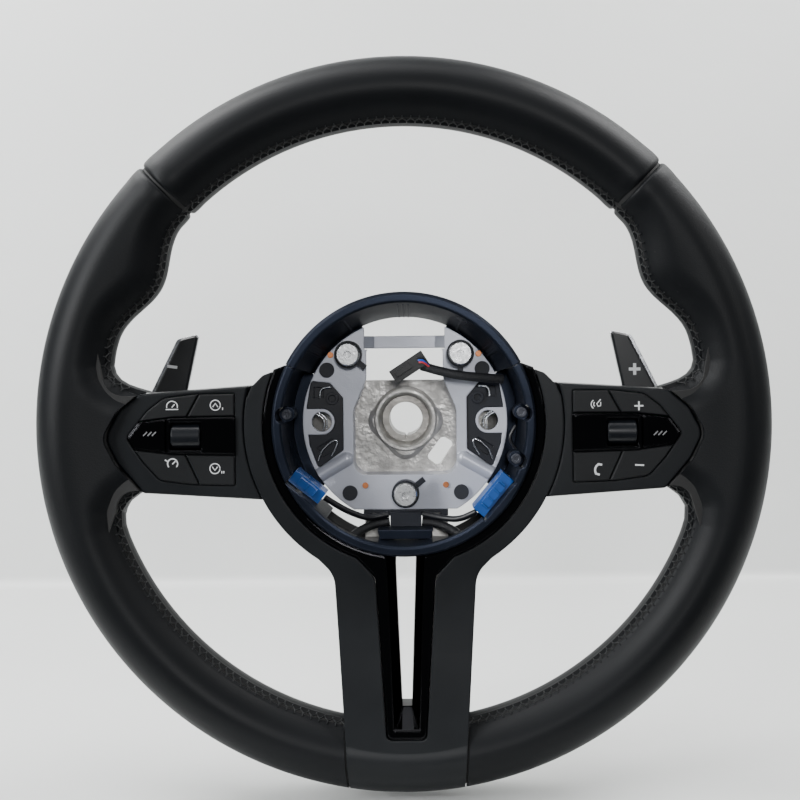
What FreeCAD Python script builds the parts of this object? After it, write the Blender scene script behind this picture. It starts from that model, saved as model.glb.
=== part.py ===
"""Sport steering wheel with the airbag module taken out.

Millimetres, +Z up, +X to the driver's right, +Y away from the driver. The origin lies on
the axis of the steering shaft bore, which runs along Y. Outlines are (x, z) points as the
driver sees the wheel; a third number in a point is the radius of that corner.
"""
import FreeCAD
import Part
import math
import os

V = FreeCAD.Vector

# ---- rim
rim_outer_r = 185.0          # outer radius over the leather
rim_width = 35.0             # radial width of the grip
rim_depth = 36.0             # depth of the grip, front to back
rim_plane_y = -52.0          # middle plane of the rim
leather_t = 1.5
core_r = 6.0                 # half thickness of the cast core inside the rim
top_seam_deg = 45.0          # seam between top and side leather, from the top
thumb_deg = 60.5             # middle of the thumb rest, from the top
thumb_half_deg = 13.0
thumb_rise = 10.0
seam_gap = 0.8

# ---- hub casting and carrier plate
bore_r = 9.0
bushing_wall = 3.5
boss_wall = 5.0
bushing_front_y = -9.0
boss_front_y = -22.0
boss_back_y = 14.0
floor_y = -14.0
floor_t = 6.0
floor_half = 46.0
floor_top_z = 21.0
plate_y = -32.0
plate_t = 4.0
plate_low_z = -46.0
window_half = 27.0
window_low_z = -28.0
neck_half = 20.0
neck_top_z = 38.0
skirt_t = 2.4
bar_height = 6.5
bar_drop = 7.0
tongue_x = -43.5             # middle of the round hole in the side tongues
tongue_hole_r = 5.2
tongue_wall = 1.5
insert_flange_t = 2.0

# ---- spring posts that carry the airbag
post_x = 29.0
post_top_z = 35.0
post_low_z = -37.4
head_r = 6.0
head_t = 4.0
head_y = -44.0
shaft_r = 3.0
collar_t = 0.8
collar_y = -39.7

# ---- airbag pocket liner
liner_r = 65.6
liner_lip = 5.0              # width of the lower liner's front lip
liner_taper = 1.6            # how far the wall closes in towards its back edge
liner_front_y = -65.0
liner_back_y = -31.0
liner_t = 2.2
arch_step = 0.3              # the arch stands this much outside the lower liner
arch_lip = 5.4
arch_taper = 6.2
arch_skirt_y = -40.0
shoulder_deg = 62.6          # joint between lower liner and upper arch, from the top
shoulder_gap_deg = 0.15
flange_y = -25.7             # front of the liner's flange behind the carrier plate
flange_t = 1.5
flange_from_deg = 24.0
flange_to_deg = 128.0

# ---- trim round the hub and down the lower spoke
trim_play = 0.2              # between arch and gloss ring
trim_width = 4.2
cover_width = 9.2            # satin ring outside the gloss ring
cover_front_y = -61.5
cover_t = 2.3
cover_top_z = 29.4           # top of the hub covers beside the arch
parting_y = -47.3            # back edge of the front covers beside the hub
leg_parting_y = -50.0
leg_bar_x = 11.0             # inner face of the cast bars in the lower spoke
leg_bar_width = 11.0
leg_top_half = 35.4
leg_top_z = -74.5
leg_low_half = 28.0
vee_top_half = 14.9
vee_top_z = -76.0
vee_low_half = 9.7
slot_top_half = 5.6
slot_low_half = 2.3
slot_high_z = -55.0
slot_play = 0.8              # the rear covers stand back from the slot by this
trim_back_y = -47.5
trim_sink = 0.4

# ---- switch pods
pod_front_y = -61.5
pod_back_y = -47.0
pod_wall = 2.2
key_front_y = -62.2
key_back_y = -56.5
key_gap = 0.35
bar_front_y = -62.8
board_y = -55.0
board_t = 1.6
roller_r = 6.5
roller_len = 14.5
roller_z = -4.9
roller_y = -57.5
roller_play = 0.35
axle_r = 1.5
axle_len = 1.6
pin_play = 0.05

# ---- rear cover and paddles
rear_arm_y = -33.0
rear_hub_y = -6.0
rear_arch_wall = 1.4         # rear cover outside the liner, round the top
paddle_front_y = -28.5
cap_t = 2.7
blade_t = 1.8
pivot_y = -23.6
pivot_pin_r = 1.6
barrel_r = 3.4
barrel_low_z = -15.0
barrel_high_z = 4.0
ear_r = 3.6
lug_t = 3.2
paddle_play = 0.4

# ---- cables
lead_r = 2.4
harness_r = 2.3
link_r = 1.6

fit = 0.3                    # clearance between neighbouring pieces
close = 0.05                 # clearance between bonded pieces

rim_mid_r = rim_outer_r - rim_width / 2
rim_inner_r = rim_outer_r - rim_width
leg_low_z = -rim_outer_r - 5
vee_low_z = -rim_inner_r - 5
slot_low_z = -rim_inner_r + 6
bushing_r = bore_r + bushing_wall
boss_r = bushing_r + boss_wall
tongue_r = tongue_hole_r + tongue_wall
plate_back_y = plate_y + plate_t
liner_lip_r = liner_r - liner_lip
liner_back_r = liner_lip_r - liner_taper
arch_r = liner_r + arch_step
arch_lip_r = arch_r - arch_lip
arch_back_r = arch_lip_r - arch_taper
plate_r = arch_back_r - 1.0
trim_in_r = arch_r + trim_play
trim_out_r = trim_in_r + trim_width
cover_r = trim_out_r + cover_width
rear_arch_r = liner_r + rear_arch_wall
rear_split_r = cover_r + 8.5
rear_open_r = liner_r - 1.2
pivot_x = -cover_r - 1.0
far = 300.0
front = -120.0               # well in front of and behind everything
behind = 80.0

os.makedirs("parts", exist_ok=True)


# ---- drawing helpers
def corner_arc(before, corner, after, radius):
    """Start, middle and end of the arc that rounds a corner."""
    to_a = before - corner
    to_b = after - corner
    to_a.normalize()
    to_b.normalize()
    half = to_a.getAngle(to_b) / 2
    middle_dir = to_a + to_b
    middle_dir.normalize()
    run = radius / math.tan(half)
    middle = corner + middle_dir * (radius / math.sin(half) - radius)
    return corner + to_a * run, middle, corner + to_b * run


def wire_of(corners, radii):
    n = len(corners)
    stops = []
    for i in range(n):
        if radii[i]:
            stops.append(corner_arc(corners[i - 1], corners[i], corners[(i + 1) % n], radii[i]))
        else:
            stops.append((corners[i], None, corners[i]))
    edges = []
    for i in range(n):
        start, middle, end = stops[i]
        if middle:
            edges.append(Part.Arc(start, middle, end).toShape())
        following = stops[(i + 1) % n][0]
        if (following - end).Length > 1e-6:
            edges.append(Part.LineSegment(end, following).toShape())
    return Part.Wire(edges)


def radius_of(point):
    return point[2] if len(point) > 2 else 0


def region(points, grow=0.0):
    """Flat face with the outline given, optionally grown or shrunk all round."""
    face = Part.Face(wire_of([V(p[0], 0, p[1]) for p in points], [radius_of(p) for p in points]))
    if grow:
        face = face.makeOffset2D(grow)
    return face


def slab(face, y0, y1):
    moved = face.copy()
    moved.translate(V(0, y0, 0))
    return moved.extrude(V(0, y1 - y0, 0))


def prism(points, y0, y1, grow=0.0):
    return slab(region(points, grow), y0, y1)


def side_prism(points, x0, x1):
    """Solid between x0 and x1 with a side outline given as (y, z) points."""
    wire = wire_of([V(x0, p[0], p[1]) for p in points], [radius_of(p) for p in points])
    return Part.Face(wire).extrude(V(x1 - x0, 0, 0))


def plan_prism(points, z0, z1):
    """Solid between z0 and z1 with a plan outline given as (x, y) points."""
    wire = wire_of([V(p[0], p[1], z0) for p in points], [radius_of(p) for p in points])
    return Part.Face(wire).extrude(V(0, 0, z1 - z0))


def disc(x, z, r, y0, y1):
    return Part.makeCylinder(r, y1 - y0, V(x, y0, z), V(0, 1, 0))


def block(x0, x1, y0, y1, z0, z1):
    return Part.makeBox(x1 - x0, y1 - y0, z1 - z0, V(x0, y0, z0))


def turned(profile):
    """Ring turned about the bore axis from (radius, y) points."""
    face = Part.Face(Part.makePolygon([V(r, y, 0) for r, y in profile + [profile[0]]]))
    return face.revolve(V(0, 0, 0), V(0, 1, 0), 360)


def sector(from_deg, to_deg):
    """Wedge between two angles from the top, counted towards -X."""
    pts = [(0.0, 0.0)]
    steps = int(abs(to_deg - from_deg) / 40) + 1
    for i in range(steps + 1):
        a = math.radians(from_deg + (to_deg - from_deg) * i / steps)
        pts.append((-far * math.sin(a), far * math.cos(a)))
    return prism(pts, front, behind)


def mirrored(shape):
    return shape.mirror(V(0, 0, 0), V(1, 0, 0))


def clean(shape):
    return shape.removeSplitter()


def join(shapes):
    return clean(shapes[0].multiFuse(shapes[1:]))


def turned_box(x, z, length, height, y0, y1, deg):
    """Box centred on (x, z) with its long side turned by deg in the wheel plane."""
    box = block(-length / 2, length / 2, y0, y1, -height / 2, height / 2)
    box.rotate(V(0, 0, 0), V(0, 1, 0), -deg)
    box.translate(V(x, 0, z))
    return box


def front_edges(shape, y):
    return [e for e in shape.Edges
            if abs(e.BoundBox.YMin - y) < 1e-3 and abs(e.BoundBox.YMax - y) < 1e-3]


def along(share, z, round_share=0.0):
    """Outline point on the left spoke; shares are of the run from hub cover to rim."""
    run = rim_inner_r - cover_r
    return -cover_r - share * run, z, round_share * run


def on_liner(deg, inward):
    """Point inside the liner wall at an angle from the top, counted towards -X."""
    a = math.radians(deg)
    return -(liner_r - inward) * math.sin(a), (liner_r - inward) * math.cos(a)


made = {}


def export(name, shape, pieces=1):
    solids = shape.Solids
    assert len(solids) == pieces, "%s came out as %d solids" % (name, len(solids))
    for solid in solids:
        assert solid.isValid(), name + " is not valid"
        assert solid.Volume > 0, name
    out = Part.makeCompound(solids) if pieces > 1 else solids[0]
    out.exportStep("parts/" + name + ".step")
    made[name] = out
    print("%-26s %2d  %10.1f mm3" % (name, pieces, out.Volume))


def export_pair(name, shape):
    export(name + "_left", shape)
    export(name + "_right", mirrored(shape))


def export_group(name, shapes):
    export(name, Part.makeCompound(shapes), len(shapes))


# ---- rim
def inner_edge_r(deg):
    """Radius of the rim's inner edge at an angle from the top, thumb rest included."""
    share = abs(deg - thumb_deg) / thumb_half_deg
    if share >= 1:
        return rim_inner_r
    return rim_inner_r - thumb_rise * math.cos(share * math.pi / 2) ** 2


def rim_section(deg, inset):
    """Oval section of the grip at an angle from the top, on the left."""
    r_out = rim_outer_r - inset
    r_in = inner_edge_r(deg) + inset
    mid = (r_out + r_in) / 2
    half_w = (r_out - r_in) / 2
    half_d = rim_depth / 2 - inset
    a = math.radians(deg)
    pts = []
    for i in range(12):
        t = 2 * math.pi * i / 12
        r = mid + half_w * math.cos(t)
        pts.append(V(-r * math.sin(a), rim_plane_y + half_d * math.sin(t), r * math.cos(a)))
    curve = Part.BSplineCurve()
    curve.interpolate(Points=pts, PeriodicFlag=True)
    return Part.Wire([curve.toShape()])


def side_rim(inset):
    """Left grip from the top seam down past the lower spoke, thumb rest included."""
    step = thumb_half_deg / 3
    angles = [top_seam_deg] + [thumb_deg + k * step for k in (-3, -2, -1, 0, 1, 2, 3)]
    angles = angles + [88, 102, 116, 130, 144, 158, 175]
    return Part.makeLoft([rim_section(a, inset) for a in angles], True)


def top_rim(inset):
    face = Part.Face(rim_section(top_seam_deg, inset))
    return face.revolve(V(0, 0, 0), V(0, 1, 0), 2 * top_seam_deg)


web_points = [
    (-rim_inner_r - 13, 44), (-rim_inner_r, 40), (-rim_inner_r + 3.4, 17.5, 9),
    (-rim_inner_r + 30, 15.8), (-rim_inner_r + 30, -32.5), (-rim_inner_r + 10.5, -33.5, 7),
    (-rim_inner_r + 3, -60), (-rim_inner_r - 13, -60),
]
web_front_y = rim_plane_y - rim_depth / 2 + 4.5
web_back_y = rim_plane_y + rim_depth / 2 - 1


def side_web(inset):
    """Padded corner that carries the leather from the rim on to the side spoke."""
    return prism(web_points, web_front_y + inset, web_back_y - inset, -inset)


pod_points = [
    (-60, 20.8), (-rim_inner_r + 18.5, 16.2, 3), (-rim_inner_r + 8, 7.5, 8),
    (-rim_inner_r + 1, -5.5, 9), (-rim_inner_r + 7.5, -18.5, 10),
    (-rim_inner_r + 20, -33.0, 3), (-60, -37.5),
]


def leg_points(grow=0.0):
    """Outline of the lower spoke with its flares into the hub ring."""
    return [
        (-58 - grow, -52), (-leg_top_half - grow, leg_top_z, 14), (-leg_low_half - grow, leg_low_z),
        (leg_low_half + grow, leg_low_z), (leg_top_half + grow, leg_top_z, 14), (58 + grow, -52),
    ]


def arm_solid(play):
    """Cast arm on the left from the rim core to the hub."""
    front_y = rim_plane_y - 5 - play
    points = [
        (-rim_mid_r, front_y), (-rim_mid_r + 9.5 + play, front_y),
        (-rim_inner_r + 0.4 + play, front_y + 11), (-liner_r - 6.4 + play, front_y + 11),
        (-liner_r + 8.6 + play, -22), (-44, floor_y), (-44, floor_y + floor_t),
        (-liner_r + 4.6, -13), (-liner_r - 10.4, rim_plane_y + 14 + play),
        (-rim_inner_r - 3.5 - play, rim_plane_y + 14 + play),
        (-rim_mid_r + 5.5 - play, rim_plane_y + 4.5 + play),
        (-rim_mid_r, rim_plane_y + 4.5 + play),
    ]
    return plan_prism(points, -16 - play, 6 + play)


def leg_arm(side, play=0.0):
    """Cast bar on one side of the lower spoke slot."""
    bend_z = -liner_r - 18.4
    low_z = -rim_mid_r
    points = [
        (floor_y, -38), (-19, -46), (-20, -liner_r + 3.6), (-45, bend_z), (-45, low_z + 19.5),
        (rim_plane_y - 5, low_z + 7.5), (rim_plane_y - 5, low_z - 2.5),
        (rim_plane_y + 4, low_z - 2.5), (rim_plane_y + 4, low_z + 2.5), (-37.5, low_z + 16.5),
        (-37.5, bend_z + 3), (-11, -liner_r + 5.6), (-10, -38),
    ]
    bar = side_prism(points, 0, leg_bar_width)
    if play:
        bar = bar.makeOffsetShape(play, 1e-3)
    bar.translate(V(leg_bar_x * side - (leg_bar_width if side < 0 else 0), 0, 0))
    return bar


def core_ring(play=0.0):
    return Part.makeTorus(rim_mid_r, core_r + play, V(0, rim_plane_y, 0), V(0, 1, 0))


def armature():
    core = core_ring()
    floor_points = [
        (-floor_half, -24, 6), (-floor_half, 32, 6), (-33, 32, 4), (-24, floor_top_z, 8),
        (24, floor_top_z, 8), (33, 32, 4), (floor_half, 32, 6), (floor_half, -24, 6),
        (30, -43, 6), (-30, -43, 6),
    ]
    floor = prism(floor_points, floor_y, floor_y + floor_t)
    ridge_y = floor_y - 3.5
    ridge = prism([(-24, 0, 9), (0, -25.5, 9), (24, 0, 9), (0, 20.5, 8)], ridge_y, floor_y + 1)
    ridge = ridge.makeChamfer(2.4, front_edges(ridge, ridge_y))
    boss = turned([(0, boss_front_y), (boss_r - 1.5, boss_front_y), (boss_r, floor_y),
                   (boss_r, 9), (boss_r - 1.5, boss_back_y), (0, boss_back_y)])
    left = arm_solid(0)
    body = join([core, floor, ridge, boss, left, mirrored(left), leg_arm(1), leg_arm(-1)])
    hollow = turned([(0, boss_front_y - 1), (boss_r - 2.6, boss_front_y - 1),
                     (bushing_r, bushing_front_y), (bushing_r, boss_back_y + 1),
                     (0, boss_back_y + 1)])
    drain = prism([(19.5, -9, 2.5), (26, -12.8, 2.5), (17.3, -26, 2.5), (10.8, -20.5, 2.5)],
                  front, behind)
    return clean(body.cut(hollow).cut(drain))


def bushing():
    """Steel bushing with the keyway at six o'clock."""
    ring = turned([(bore_r, bushing_front_y), (bushing_r, bushing_front_y),
                   (bushing_r, boss_back_y), (bore_r, boss_back_y)])
    notch = prism([(-1.4, -bore_r + 1), (1.4, -bore_r + 1), (0, -bore_r - 1.6)],
                  bushing_front_y - 1, boss_back_y + 1)
    return ring.cut(notch)


def leg_wedge(play):
    """Everything inside the lower spoke's sides."""
    return prism(leg_points(play), front, behind)


def rim_pieces():
    side_out = side_rim(0).fuse(side_web(0))
    side_in = side_rim(leather_t).fuse(side_web(leather_t))
    pod_hole = prism(pod_points, front, behind, fit)
    end = leg_wedge(fit)
    seam_deg = math.degrees(seam_gap / 2 / rim_mid_r)
    side_skin = side_out.cut(side_in).cut(pod_hole).cut(end)
    side_skin = side_skin.cut(sector(top_seam_deg - 10, top_seam_deg + seam_deg))
    top_skin = top_rim(0).cut(top_rim(leather_t))
    top_skin = top_skin.common(sector(-top_seam_deg + seam_deg, top_seam_deg - seam_deg))
    foam_in = leather_t + close
    side_foam = side_rim(foam_in).fuse(side_web(foam_in)).cut(pod_hole).cut(end)
    core = core_ring(close)
    arm = arm_solid(close)
    foam = top_rim(foam_in).multiFuse([side_foam, mirrored(side_foam)])
    foam = foam.cut(core).cut(arm).cut(mirrored(arm))
    side_skin = side_skin.cut(arm)
    export("leather_top", top_skin)
    export_pair("leather", side_skin)
    export("rim_foam", foam)


# ---- lower spoke
def leg_side(front_y, inset):
    """Side outline of the lower spoke as (y, z) points, hub end first."""
    low_front_y = front_y - 7.5 + inset
    back_y = rim_plane_y + 19 - inset
    return [
        (front_y + inset, -50), (front_y + inset, -92, 400), (low_front_y, -rim_inner_r - 11),
        (low_front_y, -rim_mid_r), (back_y - 2, -rim_mid_r), (back_y, -rim_inner_r),
        (-26 - inset, -92), (-24 - inset, -50),
    ]


def leg_solid(inset):
    """Closed body of the lower spoke, rim end included."""
    bar = side_prism(leg_side(cover_front_y, inset), -60, 60)
    ring = Part.Face(rim_section(0, inset - 0.1)).revolve(V(0, 0, 0), V(0, 1, 0), 360)
    ring = ring.common(block(-60, 60, front, 0, -far, -rim_inner_r + 30))
    return bar.fuse(ring).common(prism(leg_points(-inset), front, behind))


def vee_points(grow=0.0):
    high = vee_top_half + grow
    low = vee_low_half + grow
    return [
        (-31 - grow, -59), (-high, vee_top_z, 9), (-low, vee_low_z - grow, 3),
        (low, vee_low_z - grow, 3), (high, vee_top_z, 9), (31 + grow, -59),
    ]


def slot_points(grow=0.0):
    high = slot_top_half + grow
    low = slot_low_half + grow
    low_z = slot_low_z - grow
    return [(-high, slot_high_z), (-low, low_z), (low, low_z), (high, slot_high_z)]


def funnel():
    """Tapered opening through the gloss trim, wide at the front."""
    wide_high = slot_top_half + 7.8
    wide_low = slot_low_half + 4.5
    wide = [(-wide_high, slot_high_z), (-wide_low, slot_low_z - 7), (wide_low, slot_low_z - 7),
            (wide_high, slot_high_z)]
    mouth = wire_of([V(p[0], -70, p[1]) for p in wide], [0] * 4)
    throat = wire_of([V(p[0], trim_back_y, p[1]) for p in slot_points()], [0] * 4)
    taper = Part.makeLoft([mouth, throat], True, True)
    return taper.fuse(prism(slot_points(), trim_back_y - 0.01, trim_back_y + 5))


def hub_low(inset):
    """Region of the hub ring below the sloping shoulders beside the liner arch."""
    edge = cover_r - 9.5
    side = [(-far, -far), (-far, 14), (-cover_r + 1.5, 14), (-cover_r + 3.7, 19.2),
            (-edge, 25.0, 4), (-edge + 12, cover_top_z)]
    other = [(-p[0],) + tuple(p[1:]) for p in reversed(side)]
    return prism(side + other, front, behind, -inset)


def front_cover():
    ring = disc(0, 0, cover_r, cover_front_y, parting_y)
    ring = ring.cut(disc(0, 0, cover_r - cover_t, cover_front_y + cover_t, parting_y + 1))
    ring = ring.common(hub_low(0))
    leg = leg_solid(0).common(block(-far, far, front, leg_parting_y, -far, -40))
    hollow = leg_solid(cover_t)
    inner_ring = disc(0, 0, cover_r - cover_t, cover_front_y + cover_t, 0)
    shape = ring.fuse(leg).cut(hollow).cut(inner_ring)
    shape = shape.cut(disc(0, 0, trim_out_r + fit, front, behind))
    shape = shape.cut(prism(vee_points(fit), front, behind))
    return clean(shape.cut(core_ring(fit)))


def gloss_trim():
    ring = disc(0, 0, trim_out_r, cover_front_y + trim_sink, trim_back_y)
    ring = ring.common(hub_low(-0.8))
    side = leg_side(cover_front_y + trim_sink, 0)
    side = side[:4] + [(trim_back_y, -rim_mid_r), (trim_back_y, -50)]
    vee = side_prism(side, -60, 60).common(prism(vee_points(), front, behind))
    shape = ring.fuse(vee).cut(disc(0, 0, trim_in_r, front, behind))
    return clean(shape.cut(funnel()))


def dish_low(inset, front_y):
    back = rear_hub_y - inset
    ring = turned([(0, front_y), (cover_r - inset, front_y), (cover_r - inset, -38),
                   (cover_r - 9 - inset, back), (0, back)])
    return ring.common(hub_low(inset))


def dish_top(inset, front_y):
    return disc(0, 0, rear_arch_r - inset, front_y, rear_hub_y - inset)


def rear_arm(inset, front_y):
    return prism(pod_points, front_y, rear_arm_y - inset, -inset)


def rear_body(inset, front_y):
    arm = rear_arm(inset, front_y)
    return dish_low(inset, front_y).multiFuse([arm, mirrored(arm)])


def lugs():
    """Ears that hold the left paddle's hinge pin."""
    out = []
    for z0, z1 in ((barrel_high_z + paddle_play, barrel_high_z + paddle_play + lug_t),
                   (barrel_low_z - paddle_play - lug_t, barrel_low_z - paddle_play)):
        ear = block(pivot_x - ear_r, pivot_x + ear_r, rear_arm_y - 1, pivot_y, z0, z1)
        ear = ear.fuse(Part.makeCylinder(ear_r, z1 - z0, V(pivot_x, pivot_y, z0), V(0, 0, 1)))
        out.append(ear)
    return out[0].fuse(out[1])


def rear_covers():
    """Cover behind the hub, and the cover behind the left side spoke."""
    arch = dish_top(0, arch_skirt_y + 0.5).cut(dish_top(cover_t, -60))
    arch = arch.common(block(-far, far, front, behind, cover_top_z - 40, far))
    shell = rear_body(0, parting_y + fit).cut(rear_body(cover_t, -60))
    ears = lugs()
    shape = shell.multiFuse([arch, ears, mirrored(ears)])
    shape = shape.cut(disc(0, 0, rear_open_r, front, behind))
    shape = shape.cut(leg_solid(cover_t + fit)).cut(prism(slot_points(slot_play), front, behind))
    shape = shape.cut(disc(0, 0, arch_r + fit, -60, arch_skirt_y + fit))
    pin = hinge_pin()
    arm = arm_solid(fit)
    for piece in (pin, mirrored(pin), arm, mirrored(arm), leg_arm(1, fit), leg_arm(-1, fit)):
        shape = shape.cut(piece)
    hub = shape.common(disc(0, 0, rear_split_r, front, behind))
    spoke = shape.cut(disc(0, 0, rear_split_r + fit, front, behind))
    spoke = spoke.common(block(-far, 0, front, behind, -far, far))
    return clean(hub), clean(spoke)


def lower_rear_cover():
    shell = leg_solid(0).cut(leg_solid(cover_t))
    shell = shell.common(block(-far, far, leg_parting_y + 0.2, 40, -far, -40))
    slot = prism(slot_points(slot_play), front, behind)
    chimney = prism(slot_points(slot_play + 1.4), trim_back_y + fit, 0).cut(slot)
    chimney = chimney.common(leg_solid(0)).common(block(-far, far, front, behind, -far, -liner_r - 18.4))
    shape = shell.fuse(chimney).cut(slot).cut(disc(0, 0, cover_r + fit, front, behind))
    return clean(shape.cut(core_ring(fit)))


def hinge_pin():
    low = barrel_low_z - paddle_play - lug_t
    high = barrel_high_z + paddle_play + lug_t
    return Part.makeCylinder(pivot_pin_r, high - low, V(pivot_x, pivot_y, low), V(0, 0, 1))


# ---- hub inside
def window_points():
    return [
        (-window_half, window_low_z, 7), (window_half, window_low_z, 7), (window_half, 6, 9),
        (neck_half, 22, 9), (neck_half, neck_top_z, 2), (-neck_half, neck_top_z, 2),
        (-neck_half, 22, 9), (-window_half, 6, 9),
    ]


side_window_points = [
    (-49, 21.5, 2), (-38.8, 20.2, 2), (-32.2, 12.4, 1.5), (-32.2, -15, 1.5), (-45.5, -24.5, 1.5),
    (-50, -12, 1.5), (-51.3, 0), (-51.3, 8, 1.5),
]


def side_window(grow):
    """Window for the dark insert, with the plate's tongue left standing."""
    hole = region(side_window_points, grow)
    cut = slab(hole, plate_y - 10, 0)
    tongue = disc(tongue_x, 0, tongue_r - grow, front, behind)
    bridge = block(-far, tongue_x, front, behind, -tongue_r + grow, tongue_r - grow)
    return cut.cut(tongue).cut(bridge)


def post_places():
    return [(-post_x, post_top_z), (post_x, post_top_z), (0, post_low_z)]


plug_places = [(-40.5, 27.0), (40.5, 27.0), (-29.0, -37.2), (29.0, -37.2)]
rivet_places = [(-38.6, 34.8), (38.6, 34.8), (-21.0, -33.4), (21.0, -33.4)]
plug_r = 3.9
plug_stem_r = 2.4
rivet_r = 1.6
rivet_stem_r = 0.96


def studded(x, z, r, rise, stem_r):
    """Round head standing on the plate with a stem through it."""
    head = disc(x, z, r, plate_y - rise, plate_y)
    return head.fuse(disc(x, z, stem_r, plate_y - rise / 2, plate_back_y))


def carrier_plate():
    plate = disc(0, 0, plate_r, plate_y, plate_back_y)
    plate = plate.common(block(-far, far, front, behind, plate_low_z, far))
    plate = plate.cut(block(-21, 21, front, behind, neck_top_z + bar_height, far))
    window = prism(window_points(), front, behind)
    skirt = prism(window_points(), plate_y + 1, floor_y, skirt_t)
    skirt = skirt.common(block(-far, far, front, behind, -far, floor_top_z - 3))
    rib_l = diagonal_rib()
    plate = plate.multiFuse([skirt, rib_l, mirrored(rib_l)]).cut(window)
    bar_y = plate_y + bar_drop
    bar = plan_prism([(-23, plate_y), (-16, bar_y), (16, bar_y), (23, plate_y),
                      (23, plate_back_y), (17, bar_y + plate_t), (-17, bar_y + plate_t),
                      (-23, plate_back_y)], neck_top_z, neck_top_z + bar_height)
    plate = plate.cut(block(-21, 21, front, behind, neck_top_z - 0.5, far)).fuse(bar)
    side = side_window(0)
    hole = disc(tongue_x, 0, tongue_hole_r, front, behind)
    plate = plate.cut(side).cut(mirrored(side)).cut(hole).cut(mirrored(hole))
    for x, z in post_places():
        plate = plate.cut(disc(x, z, shaft_r + fit, front, floor_y))
    for x, z in plug_places:
        plate = plate.cut(disc(x, z, plug_stem_r, front, floor_y))
    for x, z in rivet_places:
        plate = plate.cut(disc(x, z, rivet_stem_r, front, floor_y))
    return clean(plate)


def diagonal_rib():
    """Tube-like rib at the lower left of the plate."""
    rib_r = 3.8
    start = V(-30.5, plate_y + 1, -19.5)
    run = V(-16.5, 0, -9.6)
    rod = Part.makeCylinder(rib_r, run.Length, start, run).fuse(Part.makeSphere(rib_r, start))
    return rod.common(disc(0, 0, plate_r - 0.3, front, plate_back_y - 0.5))


def side_insert():
    """Dark plastic insert behind the left window of the plate."""
    filled = side_window(-0.15)
    pad = filled.common(block(-far, far, plate_y + 0.8, plate_back_y, -far, far))
    flange_back_y = plate_back_y + insert_flange_t
    flange = side_window(1.2).common(block(-far, far, plate_back_y, flange_back_y, -far, far))
    flange = flange.common(disc(0, 0, plate_r, front, behind))
    flange = flange.cut(disc(tongue_x, 0, tongue_hole_r, front, behind))
    socket = disc(-38, 12, 3.2, plate_y - 0.6, plate_back_y)
    socket = socket.cut(disc(-38, 12, 1.8, front, plate_y + 1))
    shape = pad.multiFuse([flange, socket.common(filled)])
    shape = shape.cut(turned_box(-40.6, -13.6, 9.5, 5.6, front, plate_y + 3, 31))
    shape = shape.cut(block(-47.5, -42.5, front, plate_y + 2.6, 12.5, 18.0))
    return clean(shape)


def horn_post(x, z):
    head = disc(x, z, head_r, head_y, head_y + head_t)
    head = head.makeChamfer(0.6, front_edges(head, head_y))
    shaft = disc(x, z, shaft_r, head_y + head_t - 1, plate_back_y + 4)
    keeper = disc(x, z, shaft_r + 1.6, plate_back_y + fit, plate_back_y + fit + 1.5)
    recess = disc(x, z, 1.7, head_y - 1, head_y + 1.2)
    return clean(head.multiFuse([shaft, keeper]).cut(recess))


def collar(x, z, lug_deg, lug_len):
    """Plastic guide ring round a post head, with its release lug."""
    r_in = head_r + fit
    tube = disc(x, z, r_in + collar_t, collar_y, plate_y)
    a = math.radians(lug_deg)
    reach = r_in + lug_len / 2
    lug = turned_box(x + reach * math.cos(a), z + reach * math.sin(a), lug_len, 2.8,
                     collar_y + 1, collar_y + 4, lug_deg)
    return clean(tube.fuse(lug).cut(disc(x, z, r_in, front, behind)))


def liner(lower):
    if lower:
        profile = [(liner_r, liner_front_y + 1.5), (liner_r - 1.2, liner_front_y),
                   (liner_lip_r + 1, liner_front_y), (liner_lip_r, liner_front_y + 1.2),
                   (liner_back_r, liner_back_y), (liner_back_r + liner_t, liner_back_y),
                   (liner_lip_r + liner_t, liner_front_y + liner_t),
                   (liner_r - liner_t, liner_front_y + liner_t), (liner_r - liner_t, -50),
                   (liner_r, -50)]
        cutter = sector(shoulder_deg + shoulder_gap_deg, 360 - shoulder_deg - shoulder_gap_deg)
    else:
        profile = [(arch_r, liner_front_y + 2.5), (arch_r - 1.5, liner_front_y + 0.5),
                   (arch_lip_r + 1, liner_front_y + 0.5), (arch_lip_r, liner_front_y + 2),
                   (arch_back_r, liner_back_y + 1), (arch_back_r + liner_t, liner_back_y + 1),
                   (arch_lip_r + liner_t + 0.2, liner_front_y + 2.7),
                   (arch_r - liner_t, liner_front_y + 2.7), (arch_r - liner_t, arch_skirt_y),
                   (arch_r, arch_skirt_y)]
        cutter = sector(shoulder_gap_deg - shoulder_deg, shoulder_deg - shoulder_gap_deg)
    return turned(profile).common(cutter)


screw_places = [on_liner(85.2, 6.0), on_liner(-85.2, 6.0), on_liner(-108.2, 6.2)]
boss_screw_r = 3.9
boss_screw_len = 13.0
screw_head_r = 2.5
screw_r = 1.2
screw_len = 10.0
screw_y = -50.0

# middle, length, height and slope of the blue connectors
connector_l = (*on_liner(122.6, 7.2), 19.0, 6.8, -38.5)
connector_r = (*on_liner(-129.1, 8.2), 23.5, 7.2, 50.0)
connector_back_y = -38.0


def liner_flange(wall_r, wall_y, from_deg, to_deg):
    """Wall carried back from the liner and turned in behind the plate, on both sides."""
    back_y = flange_y + flange_t
    ring = turned([(wall_r, wall_y - 0.5), (wall_r + liner_t, wall_y - 0.5),
                   (wall_r + liner_t, back_y), (plate_r - 1.3, back_y),
                   (plate_r - 1.3, flange_y), (wall_r, flange_y)])
    left = ring.common(sector(from_deg, to_deg)).cut(arm_solid(fit))
    return [left, mirrored(left)]


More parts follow.
